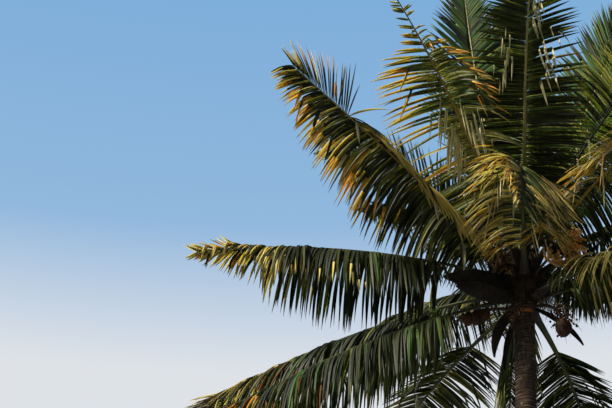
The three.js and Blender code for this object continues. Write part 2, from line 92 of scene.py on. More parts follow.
def stemPoint(height):
    h = np.asarray(height, float)
    return np.stack([h * (stem["lean"] - stem["straightening"] * h), 0 * h, h], axis=-1)


def heartRadius(h, above=None):
    return np.interp(h, *zip(*heartGirth), right=above)


def stemRadius(height):
    inCrown = heartRadius(height - stem["height"], above=0)
    return np.where(height < stem["height"], np.interp(height, *zip(*trunkGirth)), inCrown)


def heading(bearing, pitch):
    b, p = np.radians(bearing), np.radians(pitch)
    return np.stack([np.cos(b) * np.cos(p), np.sin(b) * np.cos(p), np.sin(p) + 0 * b], axis=-1)


# What every frond, stalk and sheath has: its height on the heart, its compass angle from +X, its
# first pitch, the pitch that it loses by the tip, and its length, and then what is its own.
def rib(seat, bearing, rise, fall, length, age=None, **own):
    place = {"seat": seat, "bearing": bearing, "rise": rise, "fall": fall, "length": length}
    return {**(age or {}), **place, **own}


def ribCurve(own):
    leg, bearing, swing = own["length"] / 3, own["bearing"], own.get("swing", 0)
    rise, fall, bent = own["rise"], own["fall"], bentByWrist
    start = stemPoint(stem["height"] + own["seat"]) + heading(bearing, 0) * stem["seatRadius"]
    knee = start + leg * heading(bearing, rise)
    wrist = knee + leg * heading(bearing + bent * swing, rise - bent * fall)
    return start, knee, wrist, wrist + leg * heading(bearing + swing, rise - fall)


# Where a rib is at the shares s of its length, with its own left, upward and forward directions.
def ribFrame(own, s):
    start, knee, wrist, tip = ribCurve(own)
    s = np.atleast_1d(np.asarray(s, float))[:, None]
    r = 1 - s
    at = r**3 * start + 3 * r * r * s * knee + 3 * r * s * s * wrist + s**3 * tip
    along = unit(r * r * (knee - start) + 2 * r * s * (wrist - knee) + s * s * (tip - wrist))
    bearing = own["bearing"] + own.get("swing", 0) * s[:, 0] + 90
    above = unit(np.cross(along, heading(bearing, 0)))
    turn = np.radians(own.get("roll", 0) + own.get("twist", 0) * s)
    above = above * np.cos(turn) + np.cross(along, above) * np.sin(turn)
    return at, np.cross(above, along), above, along


# Lines that start at the roots and droop: where every ring is, and each segment's heading.
def growSpines(root, way, drop, length):
    heads = unit(way[:, None] - drop[..., None] * upward)
    steps = np.cumsum(heads * (length / heads.shape[1])[:, None, None], axis=1)
    return np.concatenate([root[:, None], root[:, None] + steps], axis=1), heads


# A smooth random relief that closes round the stem: turn and climb run from 0 to 1.
def randomRelief(dealer, columns, rows):
    grid = dealer.uniform(-1, 1, (rows + 2, columns))

    def reliefAt(turn, climb):
        x, y = np.asarray(turn) * columns, np.asarray(climb) * rows
        i, j = np.floor(x).astype(int), np.clip(np.floor(y).astype(int), 0, rows)
        fx, fy = easeIn(x - i), easeIn(y - j)
        low = mix(grid[j, i % columns], grid[j, (i + 1) % columns], fx)
        high = mix(grid[j + 1, i % columns], grid[j + 1, (i + 1) % columns], fx)
        return mix(low, high, fy)

    return reliefAt


# The corners and faces of a finished bmesh, which is freed.
def readShape(bm):
    bm.verts.index_update()
    points = np.array([v.co[:] for v in bm.verts])
    faces = [[v.index for v in f.verts] for f in bm.faces]
    bm.free()
    return points, faces


# A closed bar of radius 1: each corner's place across the bar, its turn and climb as shares of 1,
# its ring's number, and the faces.
def unitBar(sides, segments):
    bm = bmesh.new()
    bmesh.ops.create_cone(bm, segments=sides, radius1=1, radius2=1, depth=1, cap_ends=True)
    walls = [e for e in bm.edges if abs(e.verts[0].co.z - e.verts[1].co.z) > 0.5]
    if segments > 1:
        bmesh.ops.subdivide_edges(bm, edges=walls, cuts=segments - 1)
    points, faces = readShape(bm)
    x, y = points[:, 0], points[:, 1]
    ring = np.rint((points[:, 2] + 0.5) * segments).astype(int)
    turn = np.arctan2(y, x) / (2 * np.pi) % 1
    return {"x": x, "y": y, "ring": ring, "turn": turn, "climb": ring / segments, "faces": faces}


# The corners of a bar that stands round the stem, with one height and radius for each corner.
def roundStem(bar, heights, radius, twist=0):
    x, y = bar["x"], bar["y"]
    points = stemPoint(heights)
    points[:, 0] += radius * (x * np.cos(twist) - y * np.sin(twist))
    points[:, 1] += radius * (x * np.sin(twist) + y * np.cos(twist))
    return points


def newHeap():
    return {"points": [], "faces": [], "uv": [], "count": 0}


def heapOf(points, faces):
    heap = newHeap()
    addCopies(heap, points[None], faces)
    return heap


# Adds copies of one shape to a heap: points has one row of corners for each copy.
def addCopies(heap, points, faces, uv=None):
    copies, corners = points.shape[:2]
    heap["points"].append(points.reshape(-1, 3))
    uv = np.zeros((corners, 2)) if uv is None else uv
    heap["uv"].append(np.tile(uv, (copies, 1)))
    starts = heap["count"] + corners * np.arange(copies)[:, None]
    for face in faces:
        heap["faces"] += (starts + np.array(face)).tolist()
    heap["count"] += copies * corners


# Adds copies of a bar, bent along rows of places. Each value has one row for each copy, and a
# copy's two halves slope down from its middle by its sag.
def addBars(heap, bar, at, left, above, wide, deep, sag=None, uv=None):
    ring, x = bar["ring"], bar["x"]
    width, height = wide[:, ring] * x, deep[:, ring] * bar["y"]
    if sag is not None:
        height = height - sag[:, ring] * np.abs(x)
    points = at[:, ring] + left[:, ring] * width[..., None] + above[:, ring] * height[..., None]
    addCopies(heap, points, bar["faces"], uv)


def addBar(heap, bar, *rows, uv=None):
    addBars(heap, bar, *(row[None] for row in rows), uv=uv)


# Adds round threads of some thickness along their spines.
def addThreads(heap, bar, spine, heads, beside, thick):
    ahead = np.concatenate([heads[:, :1], heads], axis=1)
    side = unit(np.cross(ahead, beside))
    addBars(heap, bar, spine, side, np.cross(ahead, side), thick, thick)


def linkObject(name, data):
    made = bpy.data.objects.new(name, data)
    bpy.context.scene.collection.objects.link(made)
    return made


# One piece from a heap. It rides on the palm's one body and stands for the named solids.
def makePiece(name, heap, material, nodes, creased=False):
    mesh = bpy.data.meshes.new(name)
    mesh.from_pydata(np.concatenate(heap["points"]).tolist(), [], heap["faces"])
    uv = np.concatenate(heap["uv"])
    corner = np.empty(len(mesh.loops), dtype=np.int32)
    mesh.loops.foreach_get("vertex_index", corner)
    mesh.uv_layers.new(name="along").data.foreach_set("uv", uv[corner].astype(np.float32).ravel())
    mesh.shade_smooth()
    if creased:  # a leaflet's long edges and its midrib stay crisp
        pairs = np.empty(len(mesh.edges) * 2, dtype=np.int32)
        mesh.edges.foreach_get("vertices", pairs)
        pairs = pairs.reshape(-1, 2)
        crisp = np.abs(uv[pairs[:, 0], 0] - uv[pairs[:, 1], 0]) > 1e-6
        mesh.attributes.new("sharp_edge", "BOOLEAN", "EDGE").data.foreach_set("value", crisp)
    return dressPiece(name, mesh, material, nodes)


def dressPiece(name, mesh, material, nodes):
    piece = linkObject(name, mesh)
    mesh.materials.append(material)
    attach(piece, "root")
    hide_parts(*nodes)
    triangles = sum(len(p.vertices) - 2 for p in mesh.polygons)
    print(f"  {name}: {triangles} triangles")
    return piece


def addMark(piece, name, values):
    mark = piece.data.attributes.new(name, "FLOAT", "POINT")
    mark.data.foreach_set("value", values.astype(np.float32))


# Materials

black, white = (0, 0, 0, 1), (1, 1, 1, 1)


def tone(red, green, blue):  # a screen colour as the shader's linear one
    share = np.array([red, green, blue]) / 255
    linear = np.where(share > 0.04045, ((share + 0.055) / 1.055) ** 2.4, share / 12.92)
    return (*linear.tolist(), 1.0)


def setInput(tree, socket, value):
    if isinstance(value, bpy.types.NodeSocket):
        tree.links.new(value, socket)
    else:
        socket.default_value = value


def addNode(tree, kind, sockets=None, **settings):
    node = tree.nodes.new("ShaderNode" + kind)
    for key, value in settings.items():
        setattr(node, key, value)
    for key, value in (sockets or {}).items():
        setInput(tree, node.inputs[key], value)
    return node


# A new material, its tree and shader, and the coordinates of the surface that it is on.
def newMaterial(name, **sockets):
    material = bpy.data.materials.new(name)
    material.use_nodes = True
    tree = material.node_tree
    shader = tree.nodes["Principled BSDF"]
    for key, value in sockets.items():
        shader.inputs[key.replace("_", " ")].default_value = value
    return material, tree, shader, addNode(tree, "TexCoord").outputs


def colourRamp(tree, factor, stops):
    node = addNode(tree, "ValToRGB", {"Fac": factor})
    elements = node.color_ramp.elements
    while len(elements) < len(stops):
        elements.new(0.5)
    for element, (position, colour) in zip(elements, stops):
        element.position = position
        element.color = colour
    return node.outputs["Color"]


# Noise on a surface. A zScale under 1 draws it out up and down, and one over 1 flattens it.
def noiseOver(tree, place, scale, detail=3.0, zScale=1):
    mapping = addNode(tree, "Mapping", {"Vector": place, "Scale": (1, 1, zScale)})
    sockets = {"Vector": mapping.outputs["Vector"], "Scale": scale, "Detail": detail}
    return addNode(tree, "TexNoise", sockets).outputs["Fac"]


def mixColours(tree, factor, first, second, blend="MIX"):
    node = addNode(tree, "Mix", data_type="RGBA", blend_type=blend)
    for index, value in ((0, factor), (6, first), (7, second)):
        setInput(tree, node.inputs[index], value)
    return node.outputs[2]


def patchesOf(tree, factor, dark, light):
    return colourRamp(tree, factor, [(0.35, tone(*dark)), (0.65, tone(*light))])


def maskOf(tree, factor, start, end):  # black up to the start, white from the end on
    return colourRamp(tree, factor, [(start, black), (end, white)])


# The colour multiplied by a tint where the factor is low, and left alone where it is high.
def shadeLow(tree, share, colour, factor, low, tint, high):
    shade = colourRamp(tree, factor, [(low, (*tint, 1)), (high, white)])
    return mixColours(tree, share, colour, shade, "MULTIPLY")


def rangeOf(tree, value, low, high):
    sockets = {"Value": value, "To Min": low, "To Max": high}
    return addNode(tree, "MapRange", sockets).outputs["Result"]


def mathOf(tree, operation, *values):
    return addNode(tree, "Math", dict(enumerate(values)), operation=operation).outputs["Value"]


# Gives a material its colour and the bumps on it.
def finishShader(tree, shader, colour, height, strength, distance):
    tree.links.new(colour, shader.inputs["Base Color"])
    sockets = {"Height": height, "Strength": strength, "Distance": distance}
    bump = addNode(tree, "Bump", sockets)
    tree.links.new(bump.outputs["Normal"], shader.inputs["Normal"])


# One plain base colour with a slow drift, a paler midrib, and fine veins along the leaflet.
def leafletMaterial(name, dark, light, midrib, gloss, glow, roughness):
    material, tree, shader, place = newMaterial(
        name, Specular_IOR_Level=gloss, Subsurface_Weight=glow, Subsurface_Scale=0.02,
        Subsurface_Radius=(1.0, 0.9, 0.3),
    )
    leaf = patchesOf(tree, noiseOver(tree, place["Object"], 1.7), dark, light)
    across = addNode(tree, "SeparateXYZ", {"Vector": place["UV"]}).outputs["Y"]
    onMidrib = rangeOf(tree, mathOf(tree, "COMPARE", across, 0.5, 0.06), 0.0, 0.45)
    uneven = rangeOf(tree, noiseOver(tree, place["Object"], 9.0), *roughness)
    tree.links.new(uneven, shader.inputs["Roughness"])
    veins = mathOf(tree, "SINE", mathOf(tree, "MULTIPLY", across, 70.0))
    finishShader(tree, shader, mixColours(tree, onMidrib, leaf, tone(*midrib)), veins, 0.2, 0.001)
    return material


def fibreMaterial(name, dark, light, scale, roughness=0.85, zScale=1):
    material, tree, shader, place = newMaterial(name, Roughness=roughness, Specular_IOR_Level=0.25)
    base = patchesOf(tree, noiseOver(tree, place["Object"], scale * 0.12, 4.0), dark, light)
    threads = noiseOver(tree, place["Object"], scale, 5.0, zScale)
    base = shadeLow(tree, 1.0, base, threads, 0.3, (0.35, 0.33, 0.3), 0.6)
    finishShader(tree, shader, base, threads, 0.6, 0.004)
    return material


# Crossed threads on the mat's own map, over a patchy brown.
def wovenMaterial(name, dark, light):
    material, tree, shader, place = newMaterial(name, Roughness=0.9, Specular_IOR_Level=0.2)
    base = patchesOf(tree, noiseOver(tree, place["Object"], 7.0, 4.0), dark, light)
    waves = []
    for direction in ("X", "Y"):
        sockets = {"Vector": place["UV"], "Scale": 26.0, "Distortion": 2.5, "Detail Scale": 3.0}
        wave = addNode(tree, "TexWave", sockets, bands_direction=direction)
        waves.append(wave.outputs["Fac"])
    weave = mathOf(tree, "MAXIMUM", *waves)
    base = shadeLow(tree, 1.0, base, weave, 0.35, (0.3, 0.28, 0.25), 0.8)
    finishShader(tree, shader, base, weave, 0.7, 0.002)
    return material


# Trunk: leaf scars a hand apart, each tilted its own way, with cracks down the bark between them.

bark = {
    "sides": 72,
    "scarGap": (0.082, 0.036),  # at the foot, under the crown
    "gapVaries": (0.8, 1.2),
    "scarSteps": (0.14, 0.4, 0.7, 0.9, 1.0),  # how a scar stands out and sinks over its gap
    "scarRelief": (1.0, 0.6, 0.1, -0.6, -1.0),
    "ridge": 0.005,
    "ridgeLeft": (0.55, 0.45),  # what wear has left of it, and how much that varies
    "tilt": 0.01,
    "levelEnds": (0.2, 0.1),  # no tilt this close to the foot and to the top
    "crack": 0.004,
    "crackOnset": (1.6, 0.5),  # steeper and rarer cracks with larger numbers
    "grain": 0.0012,
    "lump": 0.006,
    "footSwelling": 0.028,
    "footHeight": 0.3,
    "newScarBearing": 235,  # one leaf fell lately, and its scar is still orange
    "newScarHeight": 9.67,
    "newScarReach": 0.02,
}
barkReliefs = {  # how many waves round the trunk and up it
    "cracks": (42, 150), "grain": (84, 500), "lumps": (7, 26), "wear": (9, 60), "foot": (11, 40),
}


def trunkRings(dealer):
    heights, relief, scars = [0.0], [-1.0], [0.0]
    while heights[-1] < stem["height"]:
        gap = mix(*bark["scarGap"], heights[-1] / stem["height"]) * dealer.uniform(*bark["gapVaries"])
        low, scar = heights[-1], math.floor(scars[-1] + 0.5)
        for step, rise in zip(bark["scarSteps"], bark["scarRelief"]):
            heights.append(low + gap * step)
            relief.append(rise)
            scars.append(scar + step)
    return np.minimum(heights, stem["height"]), np.array(relief), np.array(scars)


def makeTrunk():
    dealer = np.random.default_rng(11)
    heights, relief, scars = trunkRings(dealer)
    bar = unitBar(bark["sides"], len(heights) - 1)
    ring, turn = bar["ring"], bar["turn"]
    height = heights[ring]
    climb = height / stem["height"]
    uneven = {name: randomRelief(dealer, *waves)(turn, climb) for name, waves in barkReliefs.items()}

    def facing(bearing):
        return np.cos(2 * np.pi * turn - np.radians(bearing))

    mean, varies = bark["ridgeLeft"]
    scarRelief = relief[ring] * (mean + varies * uneven["wear"])
    slope, shift = bark["crackOnset"]
    radius = stemRadius(np.minimum(heights, stem["height"] - 1e-6))[ring]
    radius = radius + bark["ridge"] * scarRelief + bark["lump"] * uneven["lumps"]
    radius = radius - bark["crack"] * easeIn(uneven["cracks"] * slope - shift)
    radius = radius - bark["grain"] * uneven["grain"]
    radius = radius + bark["footSwelling"] * np.exp(-height / bark["footHeight"]) * uneven["foot"]

    # every scar tilts towards its own leaf; a ring between two scars lies between their tilts
    scar = np.floor(scars[ring])
    lean = mix(facing(goldenAngle * scar), facing(goldenAngle * (scar + 1)), scars[ring] - scar)
    atFoot, atTop = bark["levelEnds"]
    inside = easeIn(height / atFoot) * easeIn((stem["height"] - height) / atTop)
    points = roundStem(bar, height + bark["tilt"] * lean * inside, radius)
    heap = heapOf(points, bar["faces"])
    trunk = makePiece("trunk_bark", heap, barkMaterial(), ["trunk"])
    addMark(trunk, "scar", 0.5 + 0.5 * scarRelief)
    onScar = np.abs(height - bark["newScarHeight"]) < bark["newScarReach"]
    addMark(trunk, "newScar", easeIn(facing(bark["newScarBearing"]) * 2) * onScar)


def barkMaterial():
    material, tree, shader, coordinates = newMaterial("palmBark", Roughness=0.92, Specular_IOR_Level=0.2)
    place = coordinates["Object"]
    base = colourRamp(tree, noiseOver(tree, place, 2.2, 5.0, 0.5), [
        (0.30, tone(52, 42, 34)), (0.48, tone(80, 66, 53)), (0.62, tone(98, 84, 69)), (0.8, tone(70, 58, 46)),
    ])
    streaks = noiseOver(tree, place, 30.0, 4.0, 0.16)
    base = shadeLow(tree, 0.8, base, streaks, 0.36, (0.35, 0.32, 0.3), 0.58)
    crust = maskOf(tree, noiseOver(tree, place, 11.0, 6.0), 0.58, 0.7)
    base = mixColours(tree, crust, base, tone(128, 120, 102))
    scar = addNode(tree, "Attribute", attribute_name="scar").outputs["Fac"]
    # painted shade: the grooves between the leaf scars are darkened almost to black, as the shade that falls
    # in them
    outOfShadedGroove = maskOf(tree, scar, 0.2, 0.5)
    base = mixColours(tree, outOfShadedGroove, tone(26, 18, 14), base)
    # painted highlight: broken dashes along the scar crests are lightened, as if the light catches them
    dashes = maskOf(tree, noiseOver(tree, place, 9.0, 3.0, 4), 0.45, 0.6)
    dashedCrestHighlight = mixColours(tree, dashes, black, maskOf(tree, scar, 0.6, 0.85))
    base = mixColours(tree, dashedCrestHighlight, base, tone(122, 92, 70))
    newScar = addNode(tree, "Attribute", attribute_name="newScar").outputs["Fac"]
    base = mixColours(tree, newScar, base, tone(196, 122, 64))
    finishShader(tree, shader, base, noiseOver(tree, place, 90.0, 4.0, 0.3), 0.5, 0.004)
    return material


# Fronds, with the source's sizes and names. Swing is the turn of a rib's bearing by its tip, and
# twist that of its blade. Stalk is its bare share where that differs, and stout how much thicker
# it is. Of its leaflets, hang says how far they droop and leftHang how far the left ones do, lift
# their first angle above the blade, spread their angle off the rib, leaf their length, and worn
# how much of it is left near the tip. Swept lays the left ones back along the rib, and raised
# stands those near its tip up as a comb. The scene's finer leaflets have more: slim is their
# width, ragged how untidy they are, snapped the share with a break, kept the share still there
# near the tip, stiffTip how much less the last ones droop, and greens the shares of greenKinds.

greenKinds = ("deep", "olive", "fresh", "cool")
old = {"hang": 3.0, "lift": -30, "ragged": 0.8, "snapped": 0.14, "greens": (0.5, 0.33, 0.12, 0.05)}
grown = {"hang": 1.4, "lift": -6, "ragged": 0.5, "snapped": 0.07, "greens": (0.4, 0.3, 0.15, 0.15)}
young = {"hang": 0.5, "lift": 8, "ragged": 0.25, "snapped": 0.02, "greens": (0.27, 0.05, 0.1, 0.58)}
fronds = {
    "back_left_low": rib(
        0.09, 127, -2, 26, 4.4, old, leaf=0.85, hang=0.6, lift=-14, ragged=0.4, stalk=0.27, stout=1.3,
        slim=1.2,
    ),
    "back_right_low": rib(
        0.08, 73, -1, 27, 4.45, old, swing=9, leaf=0.8, hang=0.5, lift=-24, ragged=0.4, stalk=0.3,
        stout=1.55, slim=1.15,
    ),
    "back_low": rib(0.16, 96, 16, 60, 4.3, old, leaf=0.85, hang=8, slim=1.3, greens=(0.2, 0.3, 0.1, 0.4)),
    # painted shade: more deep leaflets than its age gives, so that it looks shaded by the fronds above
    "left_low": rib(
        0.13, 198, -18, 20, 4.6, old, spread=66, stalk=0.22, stiffTip=0.75, greens=(0.45, 0.3, 0.05, 0.2),
    ),
    "right_low": rib(0.08, 24, 29, 66, 4.5, old, leaf=0.55),
    "right_front_low": rib(0.1, -30, 14, 60, 4.4, old, lift=4, hang=2.4, slim=0.65, spread=100),
    # painted shade: mostly deep leaflets, so that it looks shaded by the fronds above
    "left_level": rib(
        0.25, 167, 1, 26, 4.85, old, spread=64, stalk=0.22, stiffTip=0.75, greens=(0.6, 0.25, 0.03, 0.12),
    ),
    "left_front_level": rib(
        0.38, 194, 15, 25, 4.35, old, worn=0.75, stalk=0.235, slim=1.15, stiffTip=0.8,
        greens=(0.62, 0.28, 0.03, 0.07),
    ),
    "front_arched": rib(
        0.3, -86, 36, 112, 4.5, old, swing=-14, leaf=0.86, lift=4, hang=1.8, slim=0.75, twist=-62,
    ),
    "right_level": rib(0.21, -6, 28, 74, 4.7, old),
    "right_back_level": rib(0.22, 42, 33, 50, 4.7, old, leaf=0.6),
    "back_left_level": rib(0.29, 140, 26, 54, 4.5, old),
    "left_front_mid": rib(
        0.45, 217, 36, 21, 4.2, grown, swing=16, twist=30, hang=2.1, swept=82, raised=60, slim=1.15,
        greens=(0.6, 0.3, 0.1, 0),
    ),
    "right_front_mid": rib(0.45, -43, 39, 62, 4.75, grown, hang=1.3, spread=108, slim=0.75),
    "right_mid": rib(0.39, 8, 42, 66, 4.9, grown),
    "back_right_mid": rib(0.4, 58, 44, 56, 4.7, grown),
    "back_mid": rib(0.47, 96, 46, 60, 4.7, grown),
    "left_mid": rib(0.44, 146, 60, 42, 3.6, grown),
    "left_front_high": rib(
        0.53, 248, 47, 53, 4.8, grown, swing=7, leaf=0.92, worn=0.32, kept=0.3, hang=0.45, leftHang=1.5,
        spread=94, slim=0.85, greens=(0.1, 0.4, 0.4, 0.1),
    ),
    # painted shade: nearly all deep leaflets, so that this frond's underside reads as shaded
    "front_high": rib(
        0.63, -83, 54, 69, 4.95, young, swing=-4, leaf=0.78, hang=0.3, lift=0, spread=92,
        greens=(0.85, 0, 0, 0.15),
    ),
    "right_front_high": rib(0.64, -35, 60, 58, 5.0, young),
    "back_right_high": rib(0.6, 48, 64, 54, 5.0, young),
    "back_high": rib(0.65, 92, 66, 50, 4.9, young),
    "left_high": rib(0.6, 184, 58, 40, 3.5, young),
    "left_upright": rib(0.72, 140, 80, -6, 5.5, young, swing=-40, spread=54, leaf=1.15),
    "right_upright": rib(0.73, 10, 69, 8, 5.4, young, spread=48, twist=120),
    "back_upright": rib(0.86, 76, 84, 12, 5.0, young, swing=30, spread=58, greens=(0.1, 0.2, 0.4, 0.3)),
}

# The leaflets that are no longer green: their colour, their side of the rib, the stretch of the
# rib, how many of them, and the share of the leaflet that is still green.
both, left, right = (1, -1), (1,), (-1,)
turned = {
    "left_front_mid": [
        ("gold", left, 0, 0.7, 0.9, 0.1), ("gold", right, 0.6, 1, 0.5, 0.4),
        ("gold", right, 0.76, 1, 0.95, 0.05), ("gold", left, 0.78, 1, 0.75, 0.15),
        ("ochre", left, 0.75, 1, 0.45, 0.4), ("ochre", right, 0.4, 1, 0.65, 0.5),
    ],
    "left_front_level": [
        ("gold", both, 0.62, 1, 0.8, 0.15), ("ochre", both, 0.8, 1, 0.5, 0.3),
        ("gold", left, 0.3, 0.66, 0.2, 0.7), ("straw", both, 0.6, 0.8, 0.2, 0.3),
        ("gold", both, 0.84, 1, 0.8, 0),
    ],
    "left_front_high": [
        ("gold", right, 0.3, 1, 0.5, 0.3), ("gold", left, 0.3, 1, 0.25, 0.5),
        ("ochre", right, 0.25, 0.85, 0.75, 0.45), ("ochre", left, 0.4, 0.8, 0.5, 0.55),
        ("straw", right, 0.26, 0.46, 0.7, 0.2), ("straw", left, 0.32, 0.47, 0.95, 0.2),
        ("straw", left, 0.1, 0.3, 0.7, 0.35),
    ],
    "right_front_mid": [
        ("gold", right, 0, 0.8, 0.75, 0.15), ("ochre", right, 0, 0.9, 0.45, 0.45),
        ("tan", right, 0, 0.5, 0.3, 0.2),
    ],
    "front_arched": [
        ("gold", right, 0, 1, 0.8, 0.1), ("gold", left, 0, 1, 0.45, 0.25),
        ("tan", both, 0, 1, 0.15, 0.45), ("ochre", right, 0, 1, 0.25, 0.5),
        ("straw", both, 0, 0.4, 0.08, 0.5),
    ],
    "front_high": [
        ("straw", left, 0.49, 0.61, 0.85, 0.45), ("straw", left, 0.68, 0.88, 0.75, 0.2),
        ("straw", right, 0.46, 0.64, 0.7, 0.5),
    ],
    "right_front_low": [("gold", both, 0.1, 1, 0.8, 0.15), ("ochre", both, 0.6, 1, 0.3, 0.5)],
    "right_level": [("gold", both, 0.2, 1, 0.5, 0.3)],
    "left_low": [
        ("gold", both, 0.75, 1, 0.35, 0.3), ("ochre", both, 0.75, 1, 0.3, 0.4),
        ("rust", both, 0.5, 1, 0.12, 0.5),
    ],
    "back_low": [("gold", both, 0.3, 1, 0.3, 0.3)],
    "left_level": [("gold", both, 0.6, 1, 0.5, 0.3), ("rust", both, 0.4, 1, 0.2, 0.5)],
    "back_right_mid": [("ochre", right, 0.5, 1, 0.4, 0.5)],
}
everywhere = [("rust", both, 0.3, 1, 0.07, 0.7), ("straw", both, 0.1, 0.9, 0.01, 0.2)]

# A rib's bare share, and its width and depth at its foot, at its stalk and at its tip.
petiole = {"share": 0.13, "width": (0.120, 0.072, 0.012), "depth": (0.066, 0.050, 0.012), "taper": 0.6}
leaflet = {
    "perSide": 136,
    "longest": 1.15,
    "lengthVaries": (0.84, 1),
    "spacing": (0.3, 0.7),
    "grows": (0.7, 0.3),  # the first one's share of the full length, and the stretch it grows over
    "shrinks": (0.4, 0.7, 1.4),  # where that starts, the share lost by the tip, and its power
    "wears": (0.6, 0.16),  # where a worn frond's leaflets start to be shorter, and over what stretch
    "deadLength": 0.75,
    "sweptLength": 0.7,
    "rootOut": 0.4,  # shares of the rib's width and depth
    "rootUp": 0.12,
    "off": 86,  # angle off the rib by the stalk
    "closing": (0.5, 1.6),  # the share of that angle lost by the tip, and its power
    "tipLift": 16,  # angle above the blade by the tip
    "stray": 4,
    "tuftLean": 6,  # neighbours lean together in tufts
    "liftShares": (0.6, 1.6),  # of the tuft's lean and of the stray angle
    "hangVaries": (0.7, 1.3),
    "droopPower": 0.9,
    "stiffens": (0.6, 0.35),
    "breaks": (0.3, 0.75),  # where a snapped one may break
    "limp": (9.0, 2.5),  # how far it hangs past the break, when dead and otherwise
    "kink": 0.14,
    "thins": (0.75, 0.15),  # kept holds past this share of the rib, and sets in this much before
    "segments": 7,
    "width": 0.052,
    "widthVaries": (0.85, 1.1),
    "thickness": 0.0022,
    "fold": 36,  # each half slopes down from the midrib
    "foldVaries": (0.6, 1.3),
    "blind": 25,  # the edge towards the frond's tip stands higher
    "roll": 14,
    "twist": 24,
    "sweptRoll": 0.8,
    "clearance": 0.012,  # least distance from the stem
    "colourEdge": 0.12,  # how softly a turned stretch ends, and how far its colours' seam strays
}
# The outline of one leaflet: its foot's share of the width, between which shares of its length it
# is widest, its tip's share, and the share of the width that the shortest ones would have.
outline = {"foot": 0.55, "widest": (0.2, 0.42), "power": 1.9, "tip": 0.04, "shortOnes": 0.75}
# The raised leaflets: over what stretch they start and where they end, their lengths there, how
# they fan out, the angles at which one no longer droops and from which one counts, and their width.
comb = {
    "starts": (0.7, 0.03), "end": 0.93, "lengths": (0.95, 0.55), "fan": 60, "fanEnd": 1.05,
    "level": 70, "least": 30, "slim": 0.85,
}
leafletLooks = {  # dark, light, midrib, gloss, glow, roughness
    # deep is a dark leaf green made darker still as painted shade, for leaflets that stand in the crown's
    # shade
    "deep": ((14, 21, 8), (29, 37, 13), (76, 84, 46), 0.38, 0.1, (0.45, 0.6)),
    "olive": ((42, 46, 16), (70, 72, 28), (110, 110, 62), 0.36, 0.15, (0.45, 0.6)),
    "fresh": ((88, 94, 30), (124, 124, 48), (150, 146, 84), 0.3, 0.2, (0.45, 0.6)),
    "cool": ((44, 70, 28), (76, 110, 48), (104, 120, 76), 0.3, 0.15, (0.45, 0.6)),
    "gold": ((198, 166, 66), (234, 204, 100), (220, 196, 120), 0.3, 0.5, (0.5, 0.65)),
    "ochre": ((204, 118, 24), (232, 150, 42), (220, 164, 88), 0.25, 0.5, (0.55, 0.7)),
    "tan": ((132, 104, 60), (172, 144, 92), (176, 152, 104), 0.2, 0.2, (0.6, 0.78)),
    "rust": ((84, 52, 22), (112, 72, 32), (132, 100, 58), 0.2, 0.15, (0.6, 0.78)),
    "straw": ((190, 180, 118), (230, 220, 162), (226, 214, 166), 0.2, 0.3, (0.7, 0.85)),
}


def frondNodes(name):
    return [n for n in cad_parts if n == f"frond_{name}" or n.startswith(f"frond_{name}_")]


def ribSize(size, s, stout=1):
    foot, stalk, tip = size[0], size[1] * stout, size[2]
    bare = petiole["share"]
    onStalk = mix(foot, stalk, np.sqrt(np.clip(s / bare, 0, 1)))
    onBlade = mix(stalk, tip, riseFrom(s, bare, petiole["taper"]))
    return np.where(s < bare, onStalk, onBlade)


def leafletShare(t):
    first, over = leaflet["grows"]
    start, lost, power = leaflet["shrinks"]
    growing = first + (1 - first) * np.sin(np.clip(t / over, 0, 1) * np.pi / 2)
    return growing * (1 - lost * riseFrom(t, start, power))


# Slow waves along the rib, so that neighbouring leaflets lean together.
def tufts(dealer, t):
    waves = [(dealer.uniform(3, 12), dealer.uniform(0, 2 * np.pi)) for _ in range(5)]
    return sum(np.sin(2 * np.pi * pace * t + phase) for pace, phase in waves) / 2.2


# Deals every leaflet of a frond its two colours, and the ring where the second one starts.
def dealColours(dealer, name, frond, t, side):
    count, segments, edge = len(t), leaflet["segments"], leaflet["colourEdge"]
    near = np.array(greenKinds)[dealer.choice(4, count, p=frond["greens"])]
    far, cut = near.copy(), np.full(count, segments)
    for kind, sides, start, end, share, green in turned.get(name, []) + everywhere:
        fade = easeIn((t - start) / edge + 0.5) * easeIn((end - t) / edge + 0.5)
        hit = np.isin(side, sides) & (dealer.random(count) < share * fade)
        where = np.rint((green + dealer.normal(0, edge, count)) * segments).astype(int)
        far[hit] = kind
        cut[hit] = np.clip(where[hit], 0 if green < 0.2 else 1, segments - 1)
    return near, far, cut, far == "straw"


